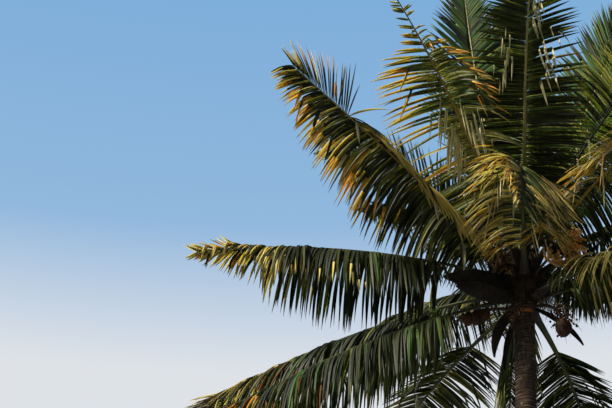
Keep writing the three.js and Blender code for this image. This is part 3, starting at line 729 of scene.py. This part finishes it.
def growLeaflets(name, frond, seed):
    dealer = np.random.default_rng(seed)
    perSide, segments = leaflet["perSide"], leaflet["segments"]
    count = 2 * perSide
    side = np.tile([1.0, -1.0], perSide)

    def vary(key):
        return dealer.uniform(*leaflet[key], count)

    t = (np.repeat(np.arange(perSide), 2) + vary("spacing")) / perSide
    s = mix(frond.get("stalk", petiole["share"]), 1, t)
    at, leftward, above, along = ribFrame(frond, s)
    share = leafletShare(t)
    near, far, cut, dead = dealColours(dealer, name, frond, t, side)

    # the way each one leaves the rib
    lean = np.where(side > 0, tufts(dealer, t), tufts(dealer, t)) * leaflet["tuftLean"] * frond["ragged"]
    upright = easeOver(t, comb["starts"]) * (side > 0)
    swept = frond.get("swept", 0) * (side > 0) * (1 - upright)
    raised = frond.get("raised", 0) * upright
    fan = comb["fan"] * (raised > 0) * (comb["fanEnd"] - t)
    stray = dealer.normal(0, leaflet["stray"], (2, count)) * frond["ragged"]
    closing, power = leaflet["closing"]
    spread = frond.get("spread", leaflet["off"]) * (1 - closing * t**power)
    off = np.radians(spread + swept + fan + lean + stray[0])[:, None]
    ofLean, ofStray = leaflet["liftShares"]
    lift = mix(frond["lift"], leaflet["tipLift"], t**2) + raised + lean * ofLean + stray[1] * ofStray
    lift = np.radians(lift)[:, None]
    way = np.cos(off) * along + side[:, None] * np.sin(off) * np.cos(lift) * leftward
    way = way + np.sin(off) * np.sin(lift) * above

    # how it droops, and where a snapped or dead one goes limp
    q = middles(segments)
    hang = np.where(side > 0, frond.get("leftHang", frond["hang"]), frond["hang"])
    hang = hang * share * vary("hangVaries") * (1 - raised / comb["level"])
    hang = hang * (1 - frond.get("stiffTip", 0) * easeOver(t, leaflet["stiffens"]))
    drop = hang[:, None] * q ** leaflet["droopPower"]
    snapped = (dealer.random(count) < frond["snapped"]) | dead
    breakAt = np.where(dead, cut / segments, vary("breaks"))[:, None]
    limp = np.where(dead, *leaflet["limp"])[:, None]
    past = easeIn((q - breakAt) / leaflet["kink"] + 0.5)
    drop = drop + np.where(snapped[:, None], limp * past, 0)

    # how long it is
    worn = 1 - (1 - frond.get("worn", 1)) * easeOver(t, leaflet["wears"])
    inComb = (raised > comb["least"]) & (t < comb["end"])
    length = leaflet["longest"] * frond.get("leaf", 1) * share * worn
    start = comb["starts"][0]
    combLength = mix(*comb["lengths"], (t - start) / (1 - start))
    length = np.where(inComb, combLength, length) * np.where(dead, leaflet["deadLength"], 1)
    length = length * np.where(swept > 0, leaflet["sweptLength"], 1) * vary("lengthVaries")
    root = at + leftward * (side * ribSize(petiole["width"], s) * leaflet["rootOut"])[:, None]
    root = root + above * (ribSize(petiole["depth"], s) * leaflet["rootUp"])[:, None]
    spine, heads = growSpines(root, way, drop, length)

    # which way its face turns at each ring
    padded = np.concatenate([heads[:, :1], heads, heads[:, -1:]], axis=1)
    ahead = unit(padded[:, :-1] + padded[:, 1:])
    across = along[:, None] - ahead * (along[:, None] * ahead).sum(-1, keepdims=True)
    across = unit(across) * -side[:, None, None]
    p = ends(segments)
    rolled, twisted = (dealer.normal(0, leaflet[key], count)[:, None] for key in ("roll", "twist"))
    tilt = raised + swept * leaflet["sweptRoll"] - leaflet["blind"] * side
    roll = np.radians((rolled + twisted * p) * frond["ragged"] + tilt[:, None])[..., None]
    across = across * np.cos(roll) + np.cross(ahead, across) * np.sin(roll)
    normal = np.cross(ahead, across)

    # how wide it is at each ring
    foot, (widestFrom, widestTo) = outline["foot"], outline["widest"]
    width = foot + (1 - foot) * easeIn(p / widestFrom)
    width = width * (1 - riseFrom(p, widestTo, outline["power"]))
    width = np.maximum(width, outline["tip"]) * leaflet["width"]
    width = width * mix(outline["shortOnes"], 1, leafletShare(t))[:, None]
    slim = frond.get("slim", 1) * np.where(inComb, comb["slim"], 1)
    half = width * (vary("widthVaries") * slim)[:, None] / 2
    fold = np.radians(leaflet["fold"] * vary("foldVaries"))[:, None]

    # left out where it would run into the stem, or by kept
    distance = np.linalg.norm((spine - stemPoint(spine[..., 2]))[..., :2], axis=-1)
    clear = (distance > stemRadius(spine[..., 2]) + leaflet["clearance"]).all(axis=1)
    start, over = leaflet["thins"]
    clear &= dealer.random(count) < mix(frond.get("kept", 1), 1, easeIn((start - t) / over))
    return {
        "spine": spine, "across": across, "normal": normal, "wide": half * np.cos(fold),
        "sag": half * np.sin(fold), "near": near, "far": far, "cut": cut, "clear": clear,
    }


leafletBars = {n: unitBar(4, n) for n in range(1, leaflet["segments"] + 1)}


# Lays the stretch of every picked leaflet from ring first to ring last into its colour's heap.
def addStretches(heap, leaves, picked, first, last):
    bar = leafletBars[last - first]
    rows = (leaves[key][picked, first:last + 1] for key in ("spine", "across", "normal", "wide", "sag"))
    spine, across, normal, wide, sag = rows
    deep = np.full_like(wide, leaflet["thickness"] / 2)
    uv = np.stack([(first + bar["ring"]) / leaflet["segments"], (bar["x"] + 1) / 2], axis=1)
    addBars(heap, bar, spine, across, normal, wide, deep, sag, uv)


def makeLeaflets():
    heaps = {kind: newHeap() for kind in leafletLooks}
    nodes = {kind: [] for kind in leafletLooks}
    segments = leaflet["segments"]
    for seed, (name, frond) in enumerate(fronds.items()):
        leaves = growLeaflets(name, frond, 100 + seed)
        for kind in leafletLooks:
            for cut in range(segments + 1):
                atCut = leaves["clear"] & (leaves["cut"] == cut)
                for part, first, last in (("near", 0, cut), ("far", cut, segments)):
                    picked = atCut & (leaves[part] == kind)
                    if last > first and picked.any():
                        addStretches(heaps[kind], leaves, picked, first, last)
                        nodes[kind] += frondNodes(name)
    for kind, look in leafletLooks.items():
        material = leafletMaterial(f"leaflet{kind.capitalize()}", *look)
        makePiece(f"leaflets_{kind}", heaps[kind], material, nodes[kind], creased=True)


# Ribs: a channelled stalk that narrows into the rib, and ends in a fine tip.

ribs = {
    "sides": 10,
    "segments": 46,
    "crowding": 1.15,  # over 1, rings stand closer by the foot
    "channel": (0.85, 0.55),  # its depth, and where it ends
    "upperWidth": 0.75,
    "clasp": (0.9, 0.12),  # how much wider it clasps the stem, and where that ends
    "brownFoot": (0.05, 0.14),
    "point": (0.03, 0.2),  # the share that narrows to a point, and how blunt that is
}
ribLooks = {  # dark, light
    "green": ((50, 54, 28), (82, 84, 44)),
    "pale": ((148, 138, 74), (188, 174, 106)),
    "ochre": ((140, 114, 48), (170, 142, 72)),
}
ribKinds = {
    "left_upright": "pale", "right_upright": "pale", "back_upright": "pale", "front_high": "pale",
    "left_front_mid": "ochre", "right_front_mid": "ochre", "left_front_high": "ochre",
}


def ribMaterial(name, dark, light, foot=(44, 34, 24)):
    material, tree, shader, place = newMaterial(name, Roughness=0.55, Specular_IOR_Level=0.3)
    base = patchesOf(tree, noiseOver(tree, place["Object"], 3.0, 4.0), dark, light)
    along = addNode(tree, "SeparateXYZ", {"Vector": place["UV"]}).outputs["X"]
    base = mixColours(tree, maskOf(tree, along, *ribs["brownFoot"]), tone(*foot), base)
    specks = noiseOver(tree, place["Object"], 45.0, 5.0)
    base = shadeLow(tree, 0.8, base, specks, 0.34, (0.45, 0.38, 0.3), 0.46)
    finishShader(tree, shader, base, specks, 0.25, 0.002)
    return material


def makeRibs():
    bar = unitBar(ribs["sides"], ribs["segments"])
    x, y = bar["x"], bar["y"]
    s = ends(ribs["segments"]) ** ribs["crowding"]
    depth, end = ribs["channel"]
    channel = depth * np.clip(1 - s / end, 0, 1)[bar["ring"]]
    flat = dict(bar)
    flat["y"] = np.where(y > 0, y * (1 - channel * (1 - np.abs(x))), y)
    flat["x"] = x * np.where(y > 0.2, ribs["upperWidth"], 1)
    uv = np.stack([s[bar["ring"]], (x + 1) / 2], axis=1)
    wider, end = ribs["clasp"]
    tapering, blunt = ribs["point"]
    girth = (1 + wider * easeIn(1 - s / end)) * np.clip((1 - s) / tapering, blunt, 1)
    for kind, look in ribLooks.items():
        heap, nodes = newHeap(), []
        for name, frond in fronds.items():
            if ribKinds.get(name, "green") != kind:
                continue
            stout = frond.get("stout", 1)
            wide, deep = (ribSize(petiole[key], s, stout) / 2 * girth for key in ("width", "depth"))
            addBar(heap, flat, *ribFrame(frond, s)[:3], wide, deep, uv=uv)
            nodes += frondNodes(name)
        makePiece(f"ribs_{kind}", heap, ribMaterial(f"rib{kind.capitalize()}", *look), nodes)


# Heart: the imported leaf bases, the woven mats round them, their loose threads, and the spear leaf.

heart = {
    "sides": 72,
    "rings": 110,
    "top": 1.02,
    "folds": 0.012,
    "threads": 0.004,
}
spear = {"sides": 22, "rings": 60, "foot": 0.8, "pleat": 0.74, "twist": 1.3}
mats = {
    "count": 24,
    "spread": (50, 95),  # degrees of the heart that one covers
    "low": (-0.02, 0.5),
    "height": (0.2, 0.42),
    "flare": (0.01, 0.06),
    "standOff": 0.012,
    "wave": 0.014,
    "droop": 0.25,  # how much lower its two sides hang
    "thickness": 0.003,
    "tornTop": (0.1, 0.88),  # how ragged, and from what share of it
    "tornSides": (0.06, 0.47),
    "holes": 0.03,
}
strands = {
    "count": 420,
    "segments": 5,
    "root": (0.0, 0.85),
    "standOff": 0.01,
    "length": (0.1, 0.42),
    "outward": (0.2, 0.9),
    "stray": 0.35,
    "droop": (0.4, 2.4),
    "thick": (0.0011, 0.0028),
    "tip": 0.5,
}


def makeHeart():
    dealer = np.random.default_rng(21)
    bar = unitBar(heart["sides"], heart["rings"])
    h = bar["climb"] * heart["top"]
    radius = heartRadius(h)
    radius = radius + heart["folds"] * randomRelief(dealer, 9, 7)(bar["turn"], bar["climb"])
    radius = radius + heart["threads"] * randomRelief(dealer, 36, 9)(bar["turn"], bar["climb"])
    heap = heapOf(roundStem(bar, stem["height"] + h, radius), bar["faces"])
    # the leaf bases' own brown, darkened further as painted shade from the fronds above
    bases = fibreMaterial("leafBases", (26, 20, 15), (54, 42, 30), 34.0, zScale=0.12)
    makePiece("heart_bases", heap, bases, ["heart"])


def makeSpear():
    bar = unitBar(spear["sides"], spear["rings"])
    h = mix(spear["foot"], heartGirth[-1][0], bar["climb"])
    corner = np.rint(bar["turn"] * spear["sides"]).astype(int)
    radius = heartRadius(h) * np.where(corner % 2 == 0, 1.0, spear["pleat"])
    points = roundStem(bar, stem["height"] + h, radius, bar["climb"] * spear["twist"])
    material = ribMaterial("spearLeaf", (118, 128, 60), (156, 162, 92), (96, 104, 48))
    makePiece("spear_leaf", heapOf(points, bar["faces"]), material, ["heart"])


# One torn mat: a curved sheet round the heart that stands off it towards its ragged top.
def matShape(dealer, bearing):
    bm = bmesh.new()
    bmesh.ops.create_grid(bm, x_segments=18, y_segments=14, size=0.5)
    layer = bm.loops.layers.uv.new("along")
    for face in bm.faces:
        for loop in face.loops:
            loop[layer].uv = (loop.vert.co.x + 0.5, loop.vert.co.y + 0.5)
    (topRagged, top), (sideRagged, edge) = mats["tornTop"], mats["tornSides"]
    torn = [
        f for f in bm.faces
        if f.calc_center_median().y + 0.5 + dealer.normal(0, topRagged) > top
        or abs(f.calc_center_median().x) + dealer.normal(0, sideRagged) > edge
        or dealer.random() < mats["holes"]
    ]
    bmesh.ops.delete(bm, geom=torn, context="FACES")
    spread, low, tall, flare = (dealer.uniform(*mats[key]) for key in ("spread", "low", "height", "flare"))
    waves = randomRelief(dealer, 5, 5)
    for vert in bm.verts:
        across, climb = vert.co.x, vert.co.y + 0.5
        h = low + tall * climb * (1 - mats["droop"] * abs(across))
        turn = math.radians(bearing + spread * across)
        wave = mats["wave"] * float(waves(across + 0.5, climb)) * (0.4 + climb)
        radius = float(heartRadius(h)) + (mats["standOff"] + flare * climb**2 + wave)
        outward = Vector((radius * math.cos(turn), radius * math.sin(turn), 0))
        vert.co = Vector(stemPoint(stem["height"] + h)) + outward
    bmesh.ops.solidify(bm, geom=bm.faces[:], thickness=mats["thickness"])
    bmesh.ops.recalc_face_normals(bm, faces=bm.faces[:])
    return bm


def makeMats():
    dealer = np.random.default_rng(31)
    joined = bmesh.new()
    for i in range(mats["count"]):
        bm = matShape(dealer, i * goldenAngle)
        part = bpy.data.meshes.new("mat")
        bm.to_mesh(part)
        bm.free()
        joined.from_mesh(part)
        bpy.data.meshes.remove(part)
    mesh = bpy.data.meshes.new("heart_mats")
    joined.to_mesh(mesh)
    joined.free()
    mesh.shade_smooth()
    material = wovenMaterial("leafMat", (36, 27, 20), (76, 58, 40))
    dressPiece("heart_mats", mesh, material, ["heart"])


def makeStrands():
    dealer = np.random.default_rng(41)
    count, segments = strands["count"], strands["segments"]
    bearing = dealer.uniform(0, 360, count)
    h = dealer.uniform(*strands["root"], count)
    outward = heading(bearing, 0)
    root = stemPoint(stem["height"] + h) + outward * (heartRadius(h) + strands["standOff"])[:, None]
    length = dealer.uniform(*strands["length"], count)
    way = outward * dealer.uniform(*strands["outward"], count)[:, None]
    way = way + dealer.normal(0, strands["stray"], (count, 3))
    first, more = strands["droop"]
    spine, heads = growSpines(root, way, (first + more * middles(segments))[None], length)
    thick = dealer.uniform(*strands["thick"], count)[:, None] * np.linspace(1, strands["tip"], segments + 1)
    heap = newHeap()
    addThreads(heap, unitBar(3, segments), spine, heads, heading(bearing + 40, 0)[:, None], thick)
    threads = fibreMaterial("looseThreads", (84, 64, 42), (150, 122, 84), 40.0)
    makePiece("heart_threads", heap, threads, ["heart"])


# Flower and fruit stalks, with the source's sizes. A nut has its place on the stalk, its radius,
# and how far below the stalk it hangs. Blade is the length of a dry one that hangs from the end.

bunches = {
    "fruit_right": rib(
        -0.05, -22, 6, 92, 0.62, thick=0.026, strings=12, reach=0.34, nuts=[(1.0, 0.106, 0.112)],
    ),
    "fruit_left": rib(
        -0.05, 178, 16, 46, 0.88, thick=0.028, strings=3, reach=0.22, blade=0.52,
        nuts=[(0.52, 0.074, 0.070), (0.66, 0.082, 0.084), (0.8, 0.072, 0.066)],
    ),
    "fruit_back": rib(
        -0.06, 96, 6, 92, 0.7, thick=0.028, strings=6, reach=0.24,
        nuts=[(0.7, 0.092, 0.088), (0.86, 0.098, 0.090), (1.0, 0.104, 0.096)],
    ),
    "buttons_front": rib(-0.06, 250, -6, 80, 0.52, thick=0.022, strings=9, reach=0.26),
    "flowers_right": rib(0.31, -48, 27, 22, 0.84, thick=0.024, strings=17, reach=0.36),
    "flowers_left": rib(0.3, 238, 34, 26, 0.56, thick=0.024, strings=10, reach=0.26, dried=True),
    "flowers_back": rib(0.33, 120, 42, 20, 0.6, thick=0.024, strings=10, reach=0.28),
}
stalk = {"sides": 10, "segments": 14, "taper": 0.5}
strings = {
    "perSolid": 4,  # for each string of the solid
    "segments": 8,
    "first": 0.45,  # where on the stalk they start
    "splay": (48, 9),  # degrees, and how much that varies
    "length": (0.65, 1),
    "thick": 0.0042,
    "tip": 0.45,
    "sag": (1.1, 1.3),
}
beads = {  # how many on a string, from what share of it, and their radius
    "flower": {"each": 36, "first": 0.15, "radius": (0.0084, 0.0175), "ball": 1},
    "button": {"each": 3, "first": 0.3, "radius": (0.008, 0.017), "ball": 2},
    "scatter": 0.35,
}


# The strings of one stalk: where each runs, from its root on the stalk to its tip.
def stringSpines(dealer, bunch):
    count = bunch["strings"] * strings["perSolid"]
    at, leftward, above, along = ribFrame(bunch, mix(strings["first"], 1, middles(count)))
    turn = np.radians(np.arange(count) * goldenAngle)[:, None]
    splay, varies = strings["splay"]
    off = np.radians(splay + dealer.normal(0, varies, count))[:, None]
    way = along * np.cos(off) + np.sin(off) * (leftward * np.cos(turn) + above * np.sin(turn))
    length = bunch["reach"] * dealer.uniform(*strings["length"], count)
    sag, power = strings["sag"]
    return growSpines(at, way, (sag * middles(strings["segments"]) ** power)[None], length)


# Places along the strings, one row for each bead.
def alongStrings(dealer, spine, each, first):
    share = dealer.uniform(first, 1, (len(spine), each)) * (spine.shape[1] - 1)
    ring = np.minimum(share.astype(int), spine.shape[1] - 2)
    row = np.arange(len(spine))[:, None]
    return mix(spine[row, ring], spine[row, ring + 1], (share - ring)[..., None]).reshape(-1, 3)


def ballShape(subdivisions):
    bm = bmesh.new()
    bmesh.ops.create_icosphere(bm, subdivisions=subdivisions, radius=1)
    return readShape(bm)


def makeBunches():
    dealer = np.random.default_rng(51)
    heaps = {part: newHeap() for part in ("stalks", "strings", "flower", "dried", "button")}
    nodes = {part: [] for part in heaps}
    stalkBar, stringBar = unitBar(stalk["sides"], stalk["segments"]), unitBar(4, strings["segments"])
    s = ends(stalk["segments"])
    for name, bunch in bunches.items():
        thick = bunch["thick"] * (1 - stalk["taper"] * s)
        addBar(heaps["stalks"], stalkBar, *ribFrame(bunch, s)[:3], thick, thick)
        spine, heads = stringSpines(dealer, bunch)
        thin = strings["thick"] * np.linspace(1, strings["tip"], strings["segments"] + 1)
        thin = np.broadcast_to(thin, spine.shape[:2])
        addThreads(heaps["strings"], stringBar, spine, heads, heading(bunch["bearing"] + 77, 0), thin)
        kind = "flower" if name.startswith("flowers") else "button"
        bead = beads[kind]
        points, faces = ballShape(bead["ball"])
        places = alongStrings(dealer, spine, bead["each"], bead["first"])
        size = dealer.uniform(*bead["radius"], len(places))
        places = places + dealer.normal(0, beads["scatter"], places.shape) * size[:, None]
        part = "dried" if bunch.get("dried") else kind
        addCopies(heaps[part], places[:, None] + points[None] * size[:, None, None], faces)
        nodes[part].append(name)
    brownStalk = ribMaterial("bunchStalk", (70, 52, 30), (112, 88, 50), (60, 46, 28))
    makePiece("bunch_stalks", heaps["stalks"], brownStalk, list(bunches))
    for part, piece, slot, *look in (
        ("strings", "bunch_strings", "stalk", "bunchString", (96, 62, 36), (150, 98, 54), 30.0),
        # the blossom's own orange is made paler and brighter as painted light, for the sun that the fronds
        # above keep off it
        ("flower", "blossom", "stalk", "blossom", (248, 168, 70), (255, 214, 132), 60.0, 0.7),
        ("dried", "blossom_dried", "stalk", "driedBlossom", (84, 60, 38), (128, 96, 62), 60.0, 0.8),
        ("button", "fruit_buttons", "husk", "fruitButton", (40, 30, 22), (74, 56, 36), 50.0, 0.6),
    ):
        makePiece(piece, heaps[part], fibreMaterial(*look), nodes[part] or list(bunches))


# A nut hangs under its stalk: three flat sides, a blunt point below, and a cap of scales above.

nut = {
    "stretch": 1.16,
    "angled": 0.06,
    "pointed": 0.16,
    "dents": 0.012,
    "tilt": 0.12,
    "lobes": 0.14,
    "capWidth": ([0, 0.2, 0.6, 1], [0.5, 0.52, 0.36, 0.14]),  # from its rim to its top
    "capHeight": (0.86, 0.26),  # its rim's share of the nut's height, and its own height
}


def nutShape(dealer, place, radius):
    bm = bmesh.new()
    bmesh.ops.create_uvsphere(bm, u_segments=40, v_segments=26, radius=1)
    dents = randomRelief(dealer, 7, 6)
    phase = dealer.uniform(0, 2 * np.pi)
    tilt = dealer.normal(0, nut["tilt"], 2)
    for vert in bm.verts:
        x, y, z = vert.co
        turn = math.atan2(y, x)
        girth = 1 + nut["angled"] * math.cos(3 * turn + phase) * (1 - z * z)
        girth *= 1 + nut["pointed"] * 0.5 * z * (1 - abs(z))
        girth += nut["dents"] * float(dents(turn / (2 * math.pi) % 1, (z + 1) / 2))
        z = z * (1 + nut["pointed"] * max(0, -z) ** 6)
        vert.co = Vector((x * girth, y * girth, z * nut["stretch"])) * radius
        vert.co += Vector((tilt[0] * vert.co.z, tilt[1] * vert.co.z, 0))
        vert.co += Vector(place)
    return readShape(bm)


def capShape(place, radius):
    bar = unitBar(36, 5)
    climb = bar["climb"]
    lobes = 1 + nut["lobes"] * np.abs(np.cos(3 * np.pi * bar["turn"])) * (1 - climb)
    out = radius * np.interp(climb, *nut["capWidth"]) * lobes
    rim, tall = nut["capHeight"]
    up = radius * (nut["stretch"] * rim + tall * climb)
    return np.stack([out * bar["x"], out * bar["y"], up], axis=1) + place, bar["faces"]


def makeNuts():
    dealer = np.random.default_rng(61)
    husks, caps = newHeap(), newHeap()
    bearing = [name for name in bunches if "nuts" in bunches[name]]
    for name in bearing:
        for share, radius, sink in bunches[name]["nuts"]:
            place = ribFrame(bunches[name], share)[0][0] - upward * sink
            for heap, (points, faces) in (
                (husks, nutShape(dealer, place, radius)), (caps, capShape(place, radius)),
            ):
                addCopies(heap, points[None], faces)
    husk = fibreMaterial("nutHusk", (50, 32, 22), (112, 74, 46), 26.0, 0.7, 0.25)
    makePiece("nut_husks", husks, husk, bearing)
    cap = fibreMaterial("nutCap", (44, 32, 22), (92, 68, 44), 40.0, 0.8)
    makePiece("nut_caps", caps, cap, bearing)


# Dry sheaths: boat-shaped woody blades with fine ridges, hollow on the side that faces the stem.

sheaths = {
    "sheath_left": rib(-0.05, 206, -38, 52, 0.94, wide=0.15, thick=0.028, roll=75),
    "sheath_back": rib(-0.05, 148, -52, 36, 0.86, wide=0.12, thick=0.028),
    "sheath_level": rib(0.26, 211, 2, 12, 1.12, wide=0.26, thick=0.04, roll=55),
    "sheath_low": rib(0.02, 221, 2, 10, 1.05, wide=0.24, thick=0.04, roll=50),
    "sheath_right": rib(-0.03, 8, -24, 40, 0.86, wide=0.14, thick=0.028, roll=60),
}
boat = {
    "sides": 28,
    "segments": 30,
    "ridges": 0.06,
    "hollow": 0.55,
    "curl": (1.6, 0.8),  # how much deeper than wide its curve is, and how far that is moved up
    "fullness": 0.7,
    "bellyEnd": 0.1,  # the bare share by the stem
    "tipLost": (0.6, 6),  # the share of its width lost by the tip, and its power
    "depth": (1.3, 0.5),  # by the stem, and the share lost by the tip
}
nutBlade = {"start": 0.97, "pitch": -86, "least": 0.006, "wide": 0.048, "power": 0.8, "deep": 0.012}


def addBoat(heap, at, leftward, above, wide, deep):
    bar = unitBar(boat["sides"], boat["segments"])
    corner = np.rint(bar["turn"] * boat["sides"]).astype(int)
    ridge = 1 + boat["ridges"] * np.where(corner % 2 == 0, 1, -1)
    side = np.where(bar["y"] < 0.01, 1, boat["hollow"])
    stretch, shift = boat["curl"]
    bar["y"] = -np.sqrt(np.clip(1 - bar["x"] ** 2, 0, 1)) * side * ridge * stretch + shift
    addBar(heap, bar, at, leftward, above, wide, deep)


def makeSheaths():
    s = ends(boat["segments"])
    heap = newHeap()
    bare, (lost, power), (stout, thinner) = boat["bellyEnd"], boat["tipLost"], boat["depth"]
    belly = np.sin(np.pi * np.clip(s * (1 + bare) - bare, 0, 1)) ** boat["fullness"]
    for sheath in sheaths.values():
        wide = mix(sheath["thick"], sheath["wide"] / 2, belly) * (1 - lost * s**power)
        deep = sheath["thick"] / 2 * (1 - thinner * s) * stout
        addBoat(heap, *ribFrame(sheath, s)[:3], wide, deep)
    bunch = bunches["fruit_left"]
    down = heading(bunch["bearing"], nutBlade["pitch"])
    at = ribFrame(bunch, nutBlade["start"])[0][0] + down * (s * bunch["blade"])[:, None]
    leftward = np.tile(heading(bunch["bearing"] + 90, 0), (len(s), 1))
    power = nutBlade["power"]
    wide = nutBlade["least"] + nutBlade["wide"] * np.sin(np.pi * s**power) ** power
    addBoat(heap, at, leftward, np.cross(down, leftward), wide, np.full(len(s), nutBlade["deep"]))
    wood = fibreMaterial("drySheath", (26, 21, 16), (56, 46, 33), 30.0, 0.75, 0.12)
    makePiece("dry_sheaths", heap, wood, [*sheaths, "fruit_left"])


# Stage, light and camera

stage = {"floorRadius": 4.5, "floorLook": ((206, 206, 202), (216, 216, 212))}
light = {
    "heading": (-0.62, -0.5, 0.74),
    "strength": 6.2,
    "softness": 7,
    "colour": (1.0, 0.95, 0.86),
    "fromSky": 0.2,
    "skyColour": (200, 214, 230),
    "sky": [(0.44, (222, 226, 231)), (0.54, (146, 184, 221)), (0.7, (122, 172, 217))],
}
camera = {"place": (0.6, -15.0, 1.6), "pitch": 33.69, "yaw": 9.56, "lens": 75, "sensor": 36, "reach": 200}


def makeFloor():
    bm = bmesh.new()
    bmesh.ops.create_circle(bm, cap_ends=True, segments=160, radius=stage["floorRadius"])
    mesh = bpy.data.meshes.new("floor")
    bm.to_mesh(mesh)
    bm.free()
    material, tree, shader, place = newMaterial("paleFloor", Roughness=0.9)
    dark, pale = stage["floorLook"]
    clouds = noiseOver(tree, place["Object"], 0.6, 2.0)
    cloudy = colourRamp(tree, clouds, [(0.3, tone(*dark)), (0.7, tone(*pale))])
    tree.links.new(cloudy, shader.inputs["Base Color"])
    mesh.materials.append(material)
    floor = linkObject("floor", mesh)


def makeLight():
    sun = bpy.data.lights.new("key", "SUN")
    sun.energy = light["strength"]
    sun.angle = math.radians(light["softness"])
    sun.color = light["colour"]
    key = linkObject("key", sun)
    key.rotation_euler = Vector(light["heading"]).to_track_quat("Z", "Y").to_euler()

    # the camera sees the sky, and the palm is lit by one plain colour of it
    world = bpy.data.worlds.new("studio")
    bpy.context.scene.world = world
    world.use_nodes = True
    tree = world.node_tree
    seen = tree.nodes["Background"]
    way = addNode(tree, "TexCoord").outputs["Generated"]
    height = addNode(tree, "SeparateXYZ", {"Vector": way}).outputs["Z"]
    sky = colourRamp(tree, height, [(share, tone(*colour)) for share, colour in light["sky"]])
    tree.links.new(sky, seen.inputs["Color"])
    plain = {"Color": tone(*light["skyColour"]), "Strength": light["fromSky"]}
    lit = addNode(tree, "Background", plain)
    ray = addNode(tree, "LightPath").outputs["Is Camera Ray"]
    backgrounds = {0: ray, 1: lit.outputs["Background"], 2: seen.outputs["Background"]}
    shown = addNode(tree, "MixShader", backgrounds)
    tree.links.new(shown.outputs["Shader"], tree.nodes["World Output"].inputs["Surface"])


def makeCamera():
    data = bpy.data.cameras.new("camera")
    data.lens = camera["lens"]
    data.sensor_width = camera["sensor"]
    data.clip_end = camera["reach"]
    view = linkObject("camera", data)
    view.location = camera["place"]
    view.rotation_euler = (math.radians(90 + camera["pitch"]), 0, math.radians(camera["yaw"]))
    bpy.context.scene.camera = view


makeFloor()
makeLight()
makeCamera()
bpy.context.scene.view_settings.view_transform = "Standard"
print("stage set")
makeTrunk()
print("trunk done")
makeHeart()
makeSpear()
makeMats()
makeStrands()
print("heart done")
makeRibs()
makeLeaflets()
print("fronds done")
makeBunches()
makeNuts()
makeSheaths()
print("bunches done")
